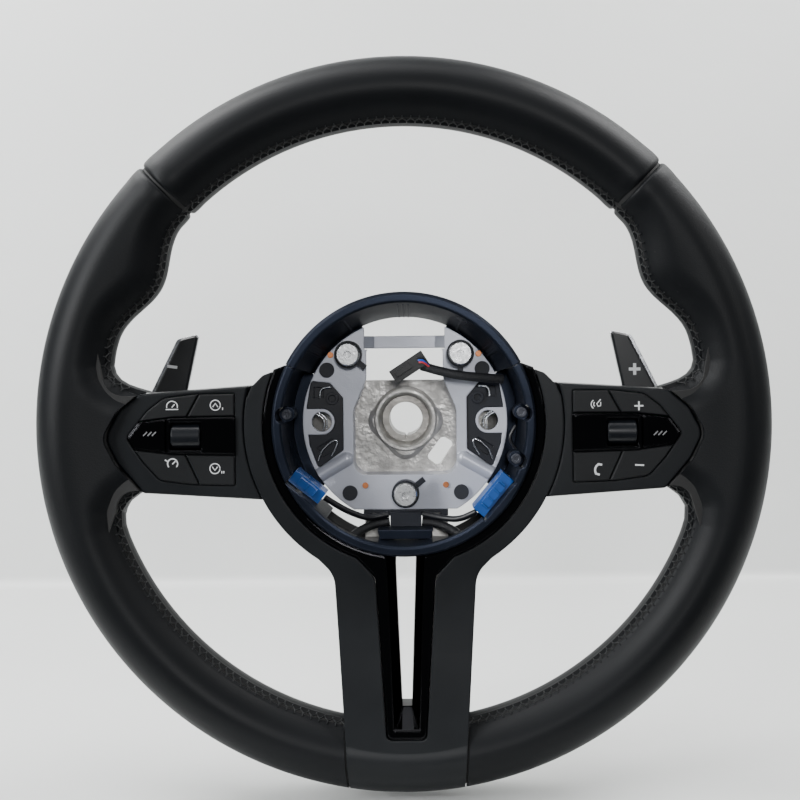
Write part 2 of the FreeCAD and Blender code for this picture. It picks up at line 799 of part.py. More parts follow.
def lower_liner():
    shape = liner(True)
    for x, z in screw_places:
        well = disc(x, z, boss_screw_r + 0.4, front, screw_y)
        boss = disc(x, z, boss_screw_r, screw_y, screw_y + boss_screw_len)
        hole = disc(x, z, screw_r, screw_y - 1, screw_y + screw_len)
        shape = shape.cut(well).fuse(boss).cut(hole)
    for x, z, length, height, deg in (connector_l, connector_r):
        shape = shape.cut(turned_box(x, z, length + 0.8, height + 0.8, front, 0, deg))
    # the cable harness leaves through a gap on each side of the bottom
    gap = sector(140, 167)
    gap = gap.common(disc(0, 0, liner_r - liner_t - 0.2, -60, 0))
    shape = shape.cut(gap).cut(mirrored(gap))
    tray_z = -liner_r + 11.6
    tray = prism([(-14, tray_z), (14, tray_z), (13, tray_z - 4.5), (-13, tray_z - 4.5)], -52, -38)
    flange = liner_flange(liner_back_r, liner_back_y, shoulder_deg + shoulder_gap_deg, flange_to_deg)
    return clean(shape.multiFuse([tray] + flange))


def upper_liner():
    ribs = [arch_rib(deg) for deg in (-52, -48, -30, -2.5, 0, 2.5, 30, 48, 52)]
    flange = liner_flange(arch_back_r, liner_back_y + 1, flange_from_deg,
                          shoulder_deg - shoulder_gap_deg)
    return join([liner(False)] + ribs + flange)


def arch_rib(deg):
    """Small strengthening rib on the inside of the arch, following its taper."""
    rib = side_prism([(liner_front_y + 6, arch_lip_r - 0.9), (liner_front_y + 6, arch_lip_r + 1),
                      (liner_back_y - 1, arch_back_r + 1), (liner_back_y - 1, arch_back_r - 0.3)],
                     -0.5, 0.5)
    rib.rotate(V(0, 0, 0), V(0, 1, 0), deg)
    return rib


def screw(x, z):
    head = disc(x, z, screw_head_r, screw_y - 1.8, screw_y)
    head = head.cut(disc(x, z, screw_r, screw_y - 2, screw_y - 0.9))
    return head.fuse(disc(x, z, screw_r, screw_y - 0.5, screw_y + screw_len))


def connector(place):
    x, z, length, height, deg = place
    body = turned_box(x, z, length, height, -54.5, connector_back_y, deg)
    lid = turned_box(x, z, length * 0.55, height - 2.4, -55.5, -50, deg)
    return body.fuse(lid)


clip_half = 8.0


def clip_rail():
    rail = block(-22, 22, plate_y - 1.5, plate_back_y, plate_low_z - 3.2, plate_low_z)
    clip = block(-clip_half, clip_half, plate_y - 5, plate_back_y - 1, plate_low_z - 8.5,
                 plate_low_z - 1)
    notch = block(-18, -12, plate_y - 3, plate_back_y + 1, plate_low_z - 4, plate_low_z - 1.8)
    return clean(rail.fuse(clip).cut(notch).cut(mirrored(notch)))


# ---- switch pods, drawn on the left
cluster_points = [
    along(0.061, 16.4, 0.017), along(0.348, 16.2, 0.213), along(0.567, 14.4, 0.128),
    along(0.688, 8.0, 0.170), along(0.835, -5.4, 0.043), along(0.723, -17.2, 0.284),
    along(0.596, -27.0, 0.099), along(0.362, -29.2, 0.213), along(0.061, -29.9, 0.017),
]
bar_top_out = along(0.780, 1.8)
bar_top_mid = along(0.500, 4.3)
bar_top_in = along(0.070, 4.6)
bar_low_out = along(0.780, -10.8)
bar_low_mid = along(0.505, -13.5)
bar_low_in = along(0.070, -14.2)
top_split = (along(0.413, 3.5), along(0.304, 17.5))
low_split = (along(0.427, -12.2), along(0.304, -31.0))
roller_x = along(0.411, 0)[0]
end_key_x = along(0.552, 0)[0]


def beside(a, b, side, gap):
    """Everything on one side of the line a to b, gap away from it; side 1 is its left."""
    length = math.hypot(b[0] - a[0], b[1] - a[1])
    ux, uz = (b[0] - a[0]) / length, (b[1] - a[1]) / length
    nx, nz = -uz * side, ux * side
    start = (a[0] - ux * far + nx * gap, a[1] - uz * far + nz * gap)
    end = (b[0] + ux * far + nx * gap, b[1] + uz * far + nz * gap)
    points = [start, end, (end[0] + nx * far, end[1] + nz * far),
              (start[0] + nx * far, start[1] + nz * far)]
    return prism(points, front, 0)


def bar_between(gap):
    """Strip between the upper and lower keys, or the strip less a gap at both edges."""
    points = [
        (bar_top_out[0] - 26, bar_top_out[1] - 2.6 - gap), (bar_top_mid[0], bar_top_mid[1] - gap),
        (bar_top_in[0] + 10, bar_top_in[1] + 0.08 - gap),
        (bar_low_in[0] + 10, bar_low_in[1] - 0.24 + gap), (bar_low_mid[0], bar_low_mid[1] + gap),
        (bar_low_out[0] - 26, bar_low_out[1] + 2.9 + gap),
    ]
    return prism(points, front, 0)


def key(area, front_y=key_front_y):
    shape = prism(cluster_points, front_y, key_back_y, -key_gap)
    shape = clean(shape.common(area))
    return shape.makeChamfer(0.6, front_edges(shape, front_y))


def keys():
    strip = bar_between(-key_gap)
    upper = block(-far, 0, front, 0, roller_z, far).cut(strip)
    lower = block(-far, 0, front, 0, -far, roller_z).cut(strip)
    return {
        "key_upper_outer": key(upper.common(beside(*top_split, 1, key_gap / 2))),
        "key_upper_inner": key(upper.common(beside(*top_split, -1, key_gap / 2))),
        "key_lower_outer": key(lower.common(beside(*low_split, -1, key_gap / 2))),
        "key_lower_inner": key(lower.common(beside(*low_split, 1, key_gap / 2))),
        "key_gloss": key(bar_between(0).common(block(-far, end_key_x, front, 0, -far, far)),
                         bar_front_y + 0.2),
    }


def pod_housing():
    body = prism(pod_points, pod_front_y, pod_back_y)
    body = body.cut(disc(0, 0, cover_r + fit, front, 0))
    body = body.makeChamfer(0.8, front_edges(body, pod_front_y))
    body = body.cut(prism(cluster_points, front, board_y + board_t))
    return clean(body.cut(prism(cluster_points, board_y, pod_back_y - pod_wall, -pod_wall)))


def pod_bar():
    """Gloss bridge between upper and lower keys, with the roller's bearing cheeks."""
    right = end_key_x + key_gap
    strip = prism(cluster_points, bar_front_y, key_back_y).common(bar_between(0))
    strip = clean(strip.common(block(right, 0, front, 0, -far, far)))
    half_len = roller_len / 2 + roller_play
    low_z = roller_z - 6
    high_z = roller_z + 7
    cheek_l = block(right, roller_x - half_len, key_back_y - 1, board_y, low_z, high_z)
    cheek_r = block(roller_x + half_len, roller_x + half_len + 3.6, key_back_y - 1, board_y,
                    low_z, high_z)
    foot_x = bar_top_in[0] - 2.6
    foot = block(foot_x - 5, foot_x, key_back_y - 1, board_y, -9, 0)
    half_height = roller_r + roller_play
    window = block(roller_x - half_len, roller_x + half_len, front, 0,
                   roller_z - half_height, roller_z + half_height)
    axle_half = roller_len / 2 + axle_len + fit
    axle = Part.makeCylinder(axle_r + pin_play, 2 * axle_half,
                             V(roller_x - axle_half, roller_y, roller_z), V(1, 0, 0))
    return clean(strip.multiFuse([cheek_l, cheek_r, foot]).cut(window).cut(axle))


def roller():
    wheel = Part.makeCylinder(roller_r, roller_len, V(roller_x - roller_len / 2, roller_y, roller_z),
                              V(1, 0, 0))
    wheel = wheel.makeChamfer(0.5, wheel.Edges[0:1] + wheel.Edges[2:3])
    axle = Part.makeCylinder(axle_r, roller_len + 2 * axle_len,
                             V(roller_x - roller_len / 2 - axle_len, roller_y, roller_z), V(1, 0, 0))
    return wheel.fuse(axle)


def board():
    plate = prism(cluster_points, board_y, board_y + board_t, -0.1)
    half_len = roller_len / 2 + 1
    hole = block(roller_x - half_len, roller_x + half_len, front, 0,
                 roller_z - roller_r - 1, roller_z + roller_r + 1)
    return plate.cut(hole)


# ---- paddles, drawn on the left
paddle_points = [
    along(0.404, 46.6, 0.021), along(0.569, 44.0, 0.043), along(0.779, 14.5, 0.085),
    along(0.730, -12, 0.113), along(0.546, -22, 0.085), along(0.092, -14, 0.043),
    along(0.092, 4, 0.043), along(0.518, 9.5, 0.113),
]
# the cap leaves the blade's outer edge bare
cap_points = [
    along(0.407, 46.2, 0.021), along(0.540, 44.1, 0.035), along(0.753, 14.6, 0.085),
    along(0.705, -11.5, 0.113), along(0.538, -20.8, 0.085), along(0.106, -13, 0.043),
    along(0.106, 3.4, 0.043), along(0.519, 8.9, 0.113),
]


def paddle_cap():
    shape = prism(cap_points, paddle_front_y, paddle_front_y + cap_t)
    return shape.makeChamfer(1.0, front_edges(shape, paddle_front_y))


def paddle_blade():
    y0 = paddle_front_y + cap_t
    plate = prism(paddle_points, y0, y0 + blade_t)
    strap = block(pivot_x - 9.5, pivot_x, y0, y0 + blade_t + 0.8, barrel_low_z + 1,
                  barrel_high_z - 1)
    height = barrel_high_z - barrel_low_z
    barrel = Part.makeCylinder(barrel_r, height, V(pivot_x, pivot_y, barrel_low_z), V(0, 0, 1))
    hole = Part.makeCylinder(pivot_pin_r + pin_play, height + 2,
                             V(pivot_x, pivot_y, barrel_low_z - 1), V(0, 0, 1))
    return clean(plate.multiFuse([strap, barrel]).cut(hole))


# ---- cables
def cable(points, r, label):
    """Round cable along straight runs joined by tangent arcs."""
    pts = [V(*p) for p in points]
    edges = []
    at = pts[0]
    length = 0.0
    for i in range(1, len(pts) - 1):
        before = pts[i] - pts[i - 1]
        after = pts[i + 1] - pts[i]
        half = before.getAngle(after) / 2
        run = 0.45 * min(before.Length, after.Length)
        radius = run / math.tan(half)
        print("  %s bend %d radius %.1f mm" % (label, i, radius))
        start, middle, end = corner_arc(pts[i - 1], pts[i], pts[i + 1], radius)
        edges.append(Part.LineSegment(at, start).toShape())
        edges.append(Part.Arc(start, middle, end).toShape())
        at = end
    edges.append(Part.LineSegment(at, pts[-1]).toShape())
    path = Part.Wire(edges)
    direction = pts[1] - pts[0]
    profile = Part.Wire([Part.makeCircle(r, pts[0], direction)])
    tube = path.makePipeShell([profile], True, False)
    for edge in edges:
        length += edge.Length
    ideal = math.pi * r * r * length
    off = 100 * (tube.Volume / ideal - 1)
    print("  %s length %.1f mm, volume off by %.2f%%" % (label, length, off))
    return tube


lead_points = [
    (50.5, -43.0, 21.5), (37.5, -46.3, 22.6), (22.3, -47.0, 24.6), (8.9, -45.7, 28.8),
]
harness_points = [
    (-clip_half - 0.4, -34.4, -52.2), (-17.0, -35.0, -53.2), (-25.5, -38.0, -57.0),
    (-31.0, -42.5, -61.5),
]
link_left_points = [
    (-clip_half - 1.0, -35.5, -48.1), (-20.0, -37.5, -50.0), (-31.2, -42.5, -44.8),
    (-41.2, -45.0, -37.9),
]
link_right_points = [
    (clip_half + 1.0, -35.5, -48.1), (17.4, -38.4, -49.8), (27.4, -42.5, -50.4),
    (36.1, -45.0, -46.1),
]
plug_deg = 33.0
plug_x = 2.6
plug_z = 28.2
plug_y = -45.7


def lead_plug():
    """Flat plug on the end of the loose lead, with a socket for the lead."""
    body = turned_box(plug_x, plug_z, 19.5, 7.6, plug_y - 3.2, plug_y + 3.2, plug_deg)
    key_rib = turned_box(plug_x - 3, plug_z - 1.5, 9, 3, plug_y - 4, plug_y, plug_deg)
    end = V(*lead_points[-1])
    back = end - V(*lead_points[-2])
    back.normalize()
    socket = Part.makeCylinder(lead_r + close, 20, end - back * 20, back)
    return clean(body.fuse(key_rib).cut(socket))


def build():
    rim_pieces()
    export("armature_casting", armature())
    export("spline_bushing", bushing())
    export("lower_spoke_cover", front_cover())
    export("lower_rear_cover", lower_rear_cover())
    export("gloss_trim", gloss_trim())
    rear_hub, rear_spoke = rear_covers()
    export("rear_cover", rear_hub)
    export_pair("rear_spoke_cover", rear_spoke)
    export("carrier_plate", carrier_plate())
    export_pair("side_insert", side_insert())
    names = ("left", "right", "lower")
    lugs_at = ((-38, 5.0), (-90, 5.0), (38, 6.0))
    for name, (x, z), (deg, reach) in zip(names, post_places(), lugs_at):
        export("horn_post_" + name, horn_post(x, z))
        export("post_collar_" + name, collar(x, z, deg, reach))
    export_group("rubber_plugs", [studded(x, z, plug_r, 1.6, plug_stem_r) for x, z in plug_places])
    export_group("contact_rivets", [studded(x, z, rivet_r, 0.7, rivet_stem_r) for x, z in rivet_places])
    export("liner_lower", lower_liner())
    export("liner_upper", upper_liner())
    export_group("liner_screws", [screw(x, z) for x, z in screw_places])
    export("blue_connector_left", connector(connector_l))
    export("blue_connector_right", connector(connector_r))
    export("clip_rail", clip_rail())
    export_pair("switch_pod", pod_housing())
    export_pair("pod_bar", pod_bar())
    export_pair("roller", roller())
    export_pair("switch_board", board())
    for name, shape in keys().items():
        export_pair(name, shape)
    export_pair("paddle_cap", paddle_cap())
    export_pair("paddle_blade", paddle_blade())
    export_pair("paddle_pin", hinge_pin())
    bundle = cable(harness_points, harness_r, "harness")
    export_pair("harness", bundle)
    export("connector_lead_left", cable(link_left_points, link_r, "connector lead left"))
    export("connector_lead_right", cable(link_right_points, link_r, "connector lead right"))
    export("loose_lead", cable(lead_points, lead_r, "lead"))
    export("lead_plug", lead_plug())
    print(len(made), "nodes")


build()
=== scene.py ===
import math

import bmesh
import bpy
import numpy as np
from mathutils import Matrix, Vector


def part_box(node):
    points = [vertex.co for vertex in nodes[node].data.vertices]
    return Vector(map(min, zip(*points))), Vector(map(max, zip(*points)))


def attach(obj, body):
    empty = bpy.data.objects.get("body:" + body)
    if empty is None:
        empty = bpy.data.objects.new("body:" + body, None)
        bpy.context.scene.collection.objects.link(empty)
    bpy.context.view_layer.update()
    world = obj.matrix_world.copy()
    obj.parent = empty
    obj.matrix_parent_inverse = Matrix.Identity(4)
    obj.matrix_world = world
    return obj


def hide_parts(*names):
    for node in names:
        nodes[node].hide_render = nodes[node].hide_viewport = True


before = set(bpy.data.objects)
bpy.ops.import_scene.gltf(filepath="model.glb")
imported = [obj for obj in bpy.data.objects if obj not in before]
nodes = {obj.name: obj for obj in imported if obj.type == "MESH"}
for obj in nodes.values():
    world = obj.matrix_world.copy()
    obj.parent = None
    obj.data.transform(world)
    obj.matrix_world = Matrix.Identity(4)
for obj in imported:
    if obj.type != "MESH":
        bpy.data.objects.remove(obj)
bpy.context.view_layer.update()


def meshObject(name, verts, faces, smooth=True):
    mesh = bpy.data.meshes.new(name)
    mesh.from_pydata([tuple(v) for v in verts], [], [tuple(f) for f in faces])
    mesh.validate()
    mesh.update()
    if smooth:
        smoothShade(mesh)
    return linked(name, mesh)


def smoothShade(mesh):
    mesh.polygons.foreach_set("use_smooth", [True] * len(mesh.polygons))


def linked(name, data):
    obj = bpy.data.objects.new(name, data)
    bpy.context.scene.collection.objects.link(obj)
    return obj


def faceOutwards(obj):
    bm = bmesh.new()
    bm.from_mesh(obj.data)
    bmesh.ops.recalc_face_normals(bm, faces=bm.faces)
    bm.to_mesh(obj.data)
    bm.free()
    return obj


def curveObject(name, lines, radius, resolution=2, kind="POLY"):
    curve = bpy.data.curves.new(name, "CURVE")
    curve.dimensions = "3D"
    curve.bevel_depth = radius
    curve.bevel_resolution = resolution
    curve.use_fill_caps = True
    for line in lines:
        spline = curve.splines.new(kind)
        spline.points.add(len(line) - 1)
        for point, co in zip(spline.points, line):
            point.co = (*co, 1.0)
        if kind == "NURBS":
            spline.order_u = 3
            spline.use_endpoint_u = True
            spline.resolution_u = 12
    return linked(name, curve)


def dress(obj, material):
    obj.data.materials.clear()
    obj.data.materials.append(material)
    return obj


def place(obj, body, material):
    dress(obj, material)
    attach(obj, body)
    return obj


# shader groups that several finishes share
def newGroup(name, inputs, outputs):
    group = bpy.data.node_groups.new(name, "ShaderNodeTree")
    for label, kind, value in inputs:
        socket = group.interface.new_socket(label, in_out="INPUT", socket_type=kind)
        if value is not None:
            socket.default_value = value
    for label, kind in outputs:
        group.interface.new_socket(label, in_out="OUTPUT", socket_type=kind)
    start = group.nodes.new("NodeGroupInput")
    end = group.nodes.new("NodeGroupOutput")
    return group, start, end


# surface grain: a bumped normal and a soft blotch mask
def makeGrain():
    group, start, end = newGroup(
        "surfaceGrain",
        [
            ("Scale", "NodeSocketFloat", 900.0),
            ("Depth", "NodeSocketFloat", 0.0001),
            ("Blotch Scale", "NodeSocketFloat", 30.0),
            ("Pebble", "NodeSocketFloat", 0.0),
            ("Normal", "NodeSocketVector", None),
        ],
        [("Normal", "NodeSocketVector"), ("Blotch", "NodeSocketFloat")],
    )
    links = group.links
    coords = group.nodes.new("ShaderNodeTexCoord")
    fine = group.nodes.new("ShaderNodeTexNoise")
    fine.inputs["Detail"].default_value = 4.0
    cells = group.nodes.new("ShaderNodeTexVoronoi")
    cells.feature = "SMOOTH_F1"
    blotch = group.nodes.new("ShaderNodeTexNoise")
    blotch.inputs["Detail"].default_value = 3.0
    mixer = group.nodes.new("ShaderNodeMix")
    bump = group.nodes.new("ShaderNodeBump")
    links.new(coords.outputs["Object"], fine.inputs["Vector"])
    links.new(coords.outputs["Object"], cells.inputs["Vector"])
    links.new(coords.outputs["Object"], blotch.inputs["Vector"])
    links.new(start.outputs["Scale"], fine.inputs["Scale"])
    links.new(start.outputs["Scale"], cells.inputs["Scale"])
    links.new(start.outputs["Blotch Scale"], blotch.inputs["Scale"])
    links.new(start.outputs["Pebble"], mixer.inputs["Factor"])
    links.new(fine.outputs["Fac"], mixer.inputs["A"])
    links.new(cells.outputs["Distance"], mixer.inputs["B"])
    links.new(mixer.outputs["Result"], bump.inputs["Height"])
    links.new(start.outputs["Depth"], bump.inputs["Distance"])
    links.new(start.outputs["Normal"], bump.inputs["Normal"])
    links.new(bump.outputs["Normal"], end.inputs["Normal"])
    links.new(blotch.outputs["Fac"], end.inputs["Blotch"])
    return group


# softened edges: a rounded normal and a mask that is bright along edges
def makeEdges():
    group, start, end = newGroup(
        "softEdges",
        [("Radius", "NodeSocketFloat", 0.0004), ("Reach", "NodeSocketFloat", 4.0)],
        [("Normal", "NodeSocketVector"), ("Edge", "NodeSocketFloat")],
    )
    links = group.links
    bevel = group.nodes.new("ShaderNodeBevel")
    bevel.samples = 4
    shape = group.nodes.new("ShaderNodeNewGeometry")
    dot = group.nodes.new("ShaderNodeVectorMath")
    dot.operation = "DOT_PRODUCT"
    flip = group.nodes.new("ShaderNodeMath")
    flip.operation = "SUBTRACT"
    flip.inputs[0].default_value = 1.0
    grow = group.nodes.new("ShaderNodeMath")
    grow.operation = "MULTIPLY"
    grow.use_clamp = True
    links.new(start.outputs["Radius"], bevel.inputs["Radius"])
    links.new(bevel.outputs["Normal"], dot.inputs[0])
    links.new(shape.outputs["Normal"], dot.inputs[1])
    links.new(dot.outputs["Value"], flip.inputs[1])
    links.new(flip.outputs["Value"], grow.inputs[0])
    links.new(start.outputs["Reach"], grow.inputs[1])
    links.new(bevel.outputs["Normal"], end.inputs["Normal"])
    links.new(grow.outputs["Value"], end.inputs["Edge"])
    return group


grainGroup = makeGrain()
edgeGroup = makeEdges()


# a finish from grain, blotches and edge wear; second is the blotch colour, spread the change in
# roughness over the blotches, edge the rounding of edges, tint the strength of grazing reflections
def finish(name, color, rough, **more):
    spec = {
        "second": None, "metal": 0.0, "grain": 900.0, "depth": 0.00004, "blotch": 30.0,
        "pebble": 0.0, "spread": 0.06, "edge": 0.0004, "wear": 0.15, "wearColor": None,
        "ior": 1.5, "specular": 0.5, "mottle": 0.35, "tint": 1.0,
    }
    spec.update(more)
    material = bpy.data.materials.new(name)
    material.use_nodes = True
    tree = material.node_tree
    shader = tree.nodes["Principled BSDF"]
    links = tree.links
    grain = tree.nodes.new("ShaderNodeGroup")
    grain.node_tree = grainGroup
    grain.inputs["Scale"].default_value = spec["grain"]
    grain.inputs["Depth"].default_value = spec["depth"]
    grain.inputs["Blotch Scale"].default_value = spec["blotch"]
    grain.inputs["Pebble"].default_value = spec["pebble"]
    edges = tree.nodes.new("ShaderNodeGroup")
    edges.node_tree = edgeGroup
    edges.inputs["Radius"].default_value = spec["edge"]
    links.new(edges.outputs["Normal"], grain.inputs["Normal"])
    links.new(grain.outputs["Normal"], shader.inputs["Normal"])
    second = spec["second"] or [min(1.0, c * (1 + spec["mottle"])) for c in color]
    wearColor = spec["wearColor"] or [min(1.0, c * 1.6 + 0.01) for c in color]
    tone = tree.nodes.new("ShaderNodeMix")
    tone.data_type = "RGBA"
    tone.inputs["A"].default_value = (*color, 1.0)
    tone.inputs["B"].default_value = (*second, 1.0)
    ramp = tree.nodes.new("ShaderNodeMapRange")
    ramp.inputs["From Min"].default_value = 0.35
    ramp.inputs["From Max"].default_value = 0.68
    links.new(grain.outputs["Blotch"], ramp.inputs["Value"])
    links.new(ramp.outputs["Result"], tone.inputs["Factor"])
    worn = tree.nodes.new("ShaderNodeMix")
    worn.data_type = "RGBA"
    worn.inputs["B"].default_value = (*wearColor, 1.0)
    amount = tree.nodes.new("ShaderNodeMath")
    amount.operation = "MULTIPLY"
    amount.inputs[1].default_value = spec["wear"]
    links.new(edges.outputs["Edge"], amount.inputs[0])
    links.new(amount.outputs["Value"], worn.inputs["Factor"])
    links.new(tone.outputs["Result"], worn.inputs["A"])
    links.new(worn.outputs["Result"], shader.inputs["Base Color"])
    gloss = tree.nodes.new("ShaderNodeMapRange")
    gloss.inputs["To Min"].default_value = max(0.02, rough - spec["spread"])
    gloss.inputs["To Max"].default_value = rough + spec["spread"]
    gloss.inputs["From Min"].default_value = 0.3
    gloss.inputs["From Max"].default_value = 0.7
    links.new(grain.outputs["Blotch"], gloss.inputs["Value"])
    links.new(gloss.outputs["Result"], shader.inputs["Roughness"])
    shader.inputs["Metallic"].default_value = spec["metal"]
    shader.inputs["IOR"].default_value = spec["ior"]
    shader.inputs["Specular IOR Level"].default_value = spec["specular"]
    shader.inputs["Specular Tint"].default_value = (spec["tint"], spec["tint"], spec["tint"], 1.0)
    return material


looks = {
    "leather": finish("leatherHide", (0.0040, 0.0046, 0.0055), 0.46, grain=1500.0, depth=0.00006,
                      pebble=0.6, blotch=14.0, spread=0.03, wear=0.0, edge=0.0002, mottle=0.25,
                      specular=0.24, ior=1.4),
    "foam": finish("rimFoam", (0.012, 0.012, 0.012), 0.8, grain=500.0, depth=0.0002),
    "casting": finish("rawCasting", (0.60, 0.585, 0.56), 0.40, second=(0.42, 0.41, 0.39), metal=0.5,
                      grain=420.0, depth=0.00035, blotch=170.0, spread=0.12, wear=0.4,
                      wearColor=(0.66, 0.64, 0.6)),
    "bushing": finish("bushingSteel", (0.30, 0.29, 0.27), 0.36, second=(0.18, 0.17, 0.16), metal=1.0,
                      grain=700.0, depth=0.0001, blotch=90.0, wear=0.4),
    "satin": finish("satinCover", (0.0046, 0.0056, 0.0068), 0.40, grain=2600.0, depth=0.00003,
                    spread=0.03, edge=0.0013, wear=0.06, specular=0.22),
    "rear": finish("rearPlastic", (0.010, 0.010, 0.011), 0.48, grain=1700.0, depth=0.00008,
                   pebble=0.5, edge=0.0008, wear=0.08),
    "gloss": finish("pianoGloss", (0.026, 0.026, 0.028), 0.06, grain=60.0, depth=0.00002,
                    spread=0.02, metal=1.0, edge=0.0020, wear=0.03, blotch=45.0, mottle=0.1,
                    tint=0.2),
    "plate": finish("plateCoating", (0.56, 0.58, 0.65), 0.36, second=(0.50, 0.52, 0.59), metal=0.2,
                    grain=1300.0, depth=0.00006, blotch=38.0, edge=0.0008, wear=0.35,
                    wearColor=(0.55, 0.56, 0.62)),
    "insert": finish("insertPlastic", (0.0075, 0.0092, 0.0150), 0.42, grain=1500.0, depth=0.00006,
                     edge=0.0005, wear=0.2, specular=0.3),
    "post": finish("zincSteel", (0.62, 0.63, 0.64), 0.32, second=(0.46, 0.47, 0.48), metal=0.85,
                   grain=700.0, depth=0.00006, blotch=520.0, spread=0.10, wear=0.3),
    "rubber": finish("softRubber", (0.013, 0.015, 0.021), 0.6, grain=1800.0, depth=0.00008,
                     edge=0.0004, wear=0.1),
    "copper": finish("dullCopper", (0.42, 0.16, 0.07), 0.42, metal=0.9, grain=900.0, depth=0.00008,
                     wear=0.5, wearColor=(0.75, 0.42, 0.2)),
    "liner": finish("linerPlastic", (0.0125, 0.0158, 0.0250), 0.32, grain=1200.0, depth=0.00005,
                    spread=0.06, edge=0.0009, wear=0.3, wearColor=(0.09, 0.10, 0.135),
                    metal=0.6, specular=0.22, tint=0.3),
    "blue": finish("connectorBlue", (0.003, 0.070, 0.30), 0.30, grain=800.0, depth=0.00003,
                   edge=0.0004, wear=0.25, wearColor=(0.05, 0.25, 0.7)),
    "key": finish("keyPlastic", (0.0050, 0.0056, 0.0064), 0.46, grain=2600.0, depth=0.00004,
                  spread=0.03, edge=0.0007, wear=0.2, wearColor=(0.03, 0.03, 0.034), specular=0.24),
    "roller": finish("rollerPlastic", (0.0050, 0.0060, 0.0080), 0.34, grain=900.0, depth=0.00003,
                     edge=0.0006, wear=0.2, specular=0.3),
    "board": finish("circuitBoard", (0.01, 0.09, 0.035), 0.4, grain=900.0, depth=0.00004),
    "paddleCap": finish("paddleCap", (0.0070, 0.0078, 0.0090), 0.34, grain=2000.0, depth=0.00003,
                        edge=0.0006, wear=0.12, specular=0.35),
    "plug": finish("plugPlastic", (0.0030, 0.0034, 0.0042), 0.34, grain=1500.0, depth=0.00005,
                   edge=0.0004, wear=0.25, wearColor=(0.03, 0.033, 0.04), specular=0.35),
    "screw": finish("blackSteel", (0.045, 0.048, 0.060), 0.30, grain=900.0, depth=0.00005,
                    metal=0.6, edge=0.0004, wear=0.5, wearColor=(0.25, 0.26, 0.28)),
    "paddleMetal": finish("paddleMetal", (0.62, 0.63, 0.66), 0.24, second=(0.50, 0.51, 0.54),
                          metal=1.0, grain=1400.0, depth=0.00003, blotch=200.0, edge=0.0004),
    "sleeve": finish("cableSleeve", (0.006, 0.0065, 0.0085), 0.52, grain=2200.0, depth=0.0003,
                     pebble=1.0, wear=0.0),
    "print": finish("keyPrint", (0.62, 0.63, 0.64), 0.5, grain=1800.0, depth=0.00002, wear=0.0,
                    mottle=0.1),
    "thread": finish("seamThread", (0.0075, 0.0085, 0.0090), 0.46, grain=3000.0, depth=0.0001,
                     mottle=0.6, wear=0.0, specular=0.32),
    "dimPrint": finish("dimPrint", (0.16, 0.16, 0.165), 0.4, grain=1800.0, depth=0.00002, wear=0.0),
    "clipWire": finish("clipWire", (0.62, 0.64, 0.67), 0.25, metal=1.0, grain=900.0, depth=0.00003,
                       wear=0.0),
    "wireBlue": finish("wireBlue", (0.01, 0.07, 0.45), 0.35, grain=900.0, depth=0.00003),
    "wireRed": finish("wireRed", (0.45, 0.03, 0.04), 0.35, grain=900.0, depth=0.00003),
    "wireBlack": finish("wireBlack", (0.006, 0.0065, 0.009), 0.35, grain=900.0, depth=0.00005),
}

# which nodes get which finish; a name ending in _ stands for its left and right node
nodesOf = {
    "leather": ["leather_top", "leather_"],
    "foam": ["rim_foam"],
    "casting": ["armature_casting"],
    "bushing": ["spline_bushing"],
    "satin": ["lower_spoke_cover", "switch_pod_"],
    "rear": ["lower_rear_cover", "rear_cover", "rear_spoke_cover_"],
    "gloss": ["gloss_trim", "pod_bar_", "key_gloss_"],
    "plate": ["carrier_plate"],
    "insert": ["side_insert_", "clip_rail", "post_collar_", "post_collar_lower"],
    "post": ["horn_post_", "horn_post_lower", "paddle_pin_"],
    "rubber": ["rubber_plugs"],
    "copper": ["contact_rivets"],
    "screw": ["liner_screws"],
    "liner": ["liner_lower", "liner_upper"],
    "blue": ["blue_connector_"],
    "key": ["key_upper_outer_", "key_upper_inner_", "key_lower_outer_", "key_lower_inner_"],
    "roller": ["roller_"],
    "board": ["switch_board_"],
    "paddleCap": ["paddle_cap_"],
    "paddleMetal": ["paddle_blade_"],
    "sleeve": ["harness_", "loose_lead"],
    "plug": ["lead_plug"],
    "wireBlack": ["connector_lead_"],
}
for look, names in nodesOf.items():
    for name in names:
        pair = [name + "left", name + "right"] if name.endswith("_") else [name]
        for node in pair:
            dress(nodes[node], looks[look])
print("finishes ready")

# leather grip: angles are degrees from the top of the wheel, lengths are metres
grip = {
    "outer": 0.185, "half": 0.0175, "depth": 0.018, "plane": -0.052, "turns": 56,
    "seamDeg": 45.0, "seamGap": 0.0004, "roll": 0.0022, "pucker": 0.00022, "puckerAt": 0.0052,
    "thumbDeg": 60.5, "thumbSpan": 13.0, "thumbRise": 0.010,
    "laceLift": 0.46, "laceDepth": 0.0013, "laceHalf": 0.00165, "lip": 0.00030, "lipAt": 0.0025,
    "webRun": 0.026, "webDrop": 0.0042, "webTurns": 132,
    "podGap": 0.0003, "podDepth": 0.0152, "podRise": 0.0046, "podReach": 0.0046,
    "legTop": (0.0354, -0.0745), "legLow": (0.0280, -0.190), "legGap": 0.0004,
    "cutFront": -0.09, "cutBack": 0.0, "sharpDeg": 38,
}
gripRound = 0.0178  # mean radius of the grip's cross section, which turns angles into lengths
gripMid = grip["outer"] - grip["half"]
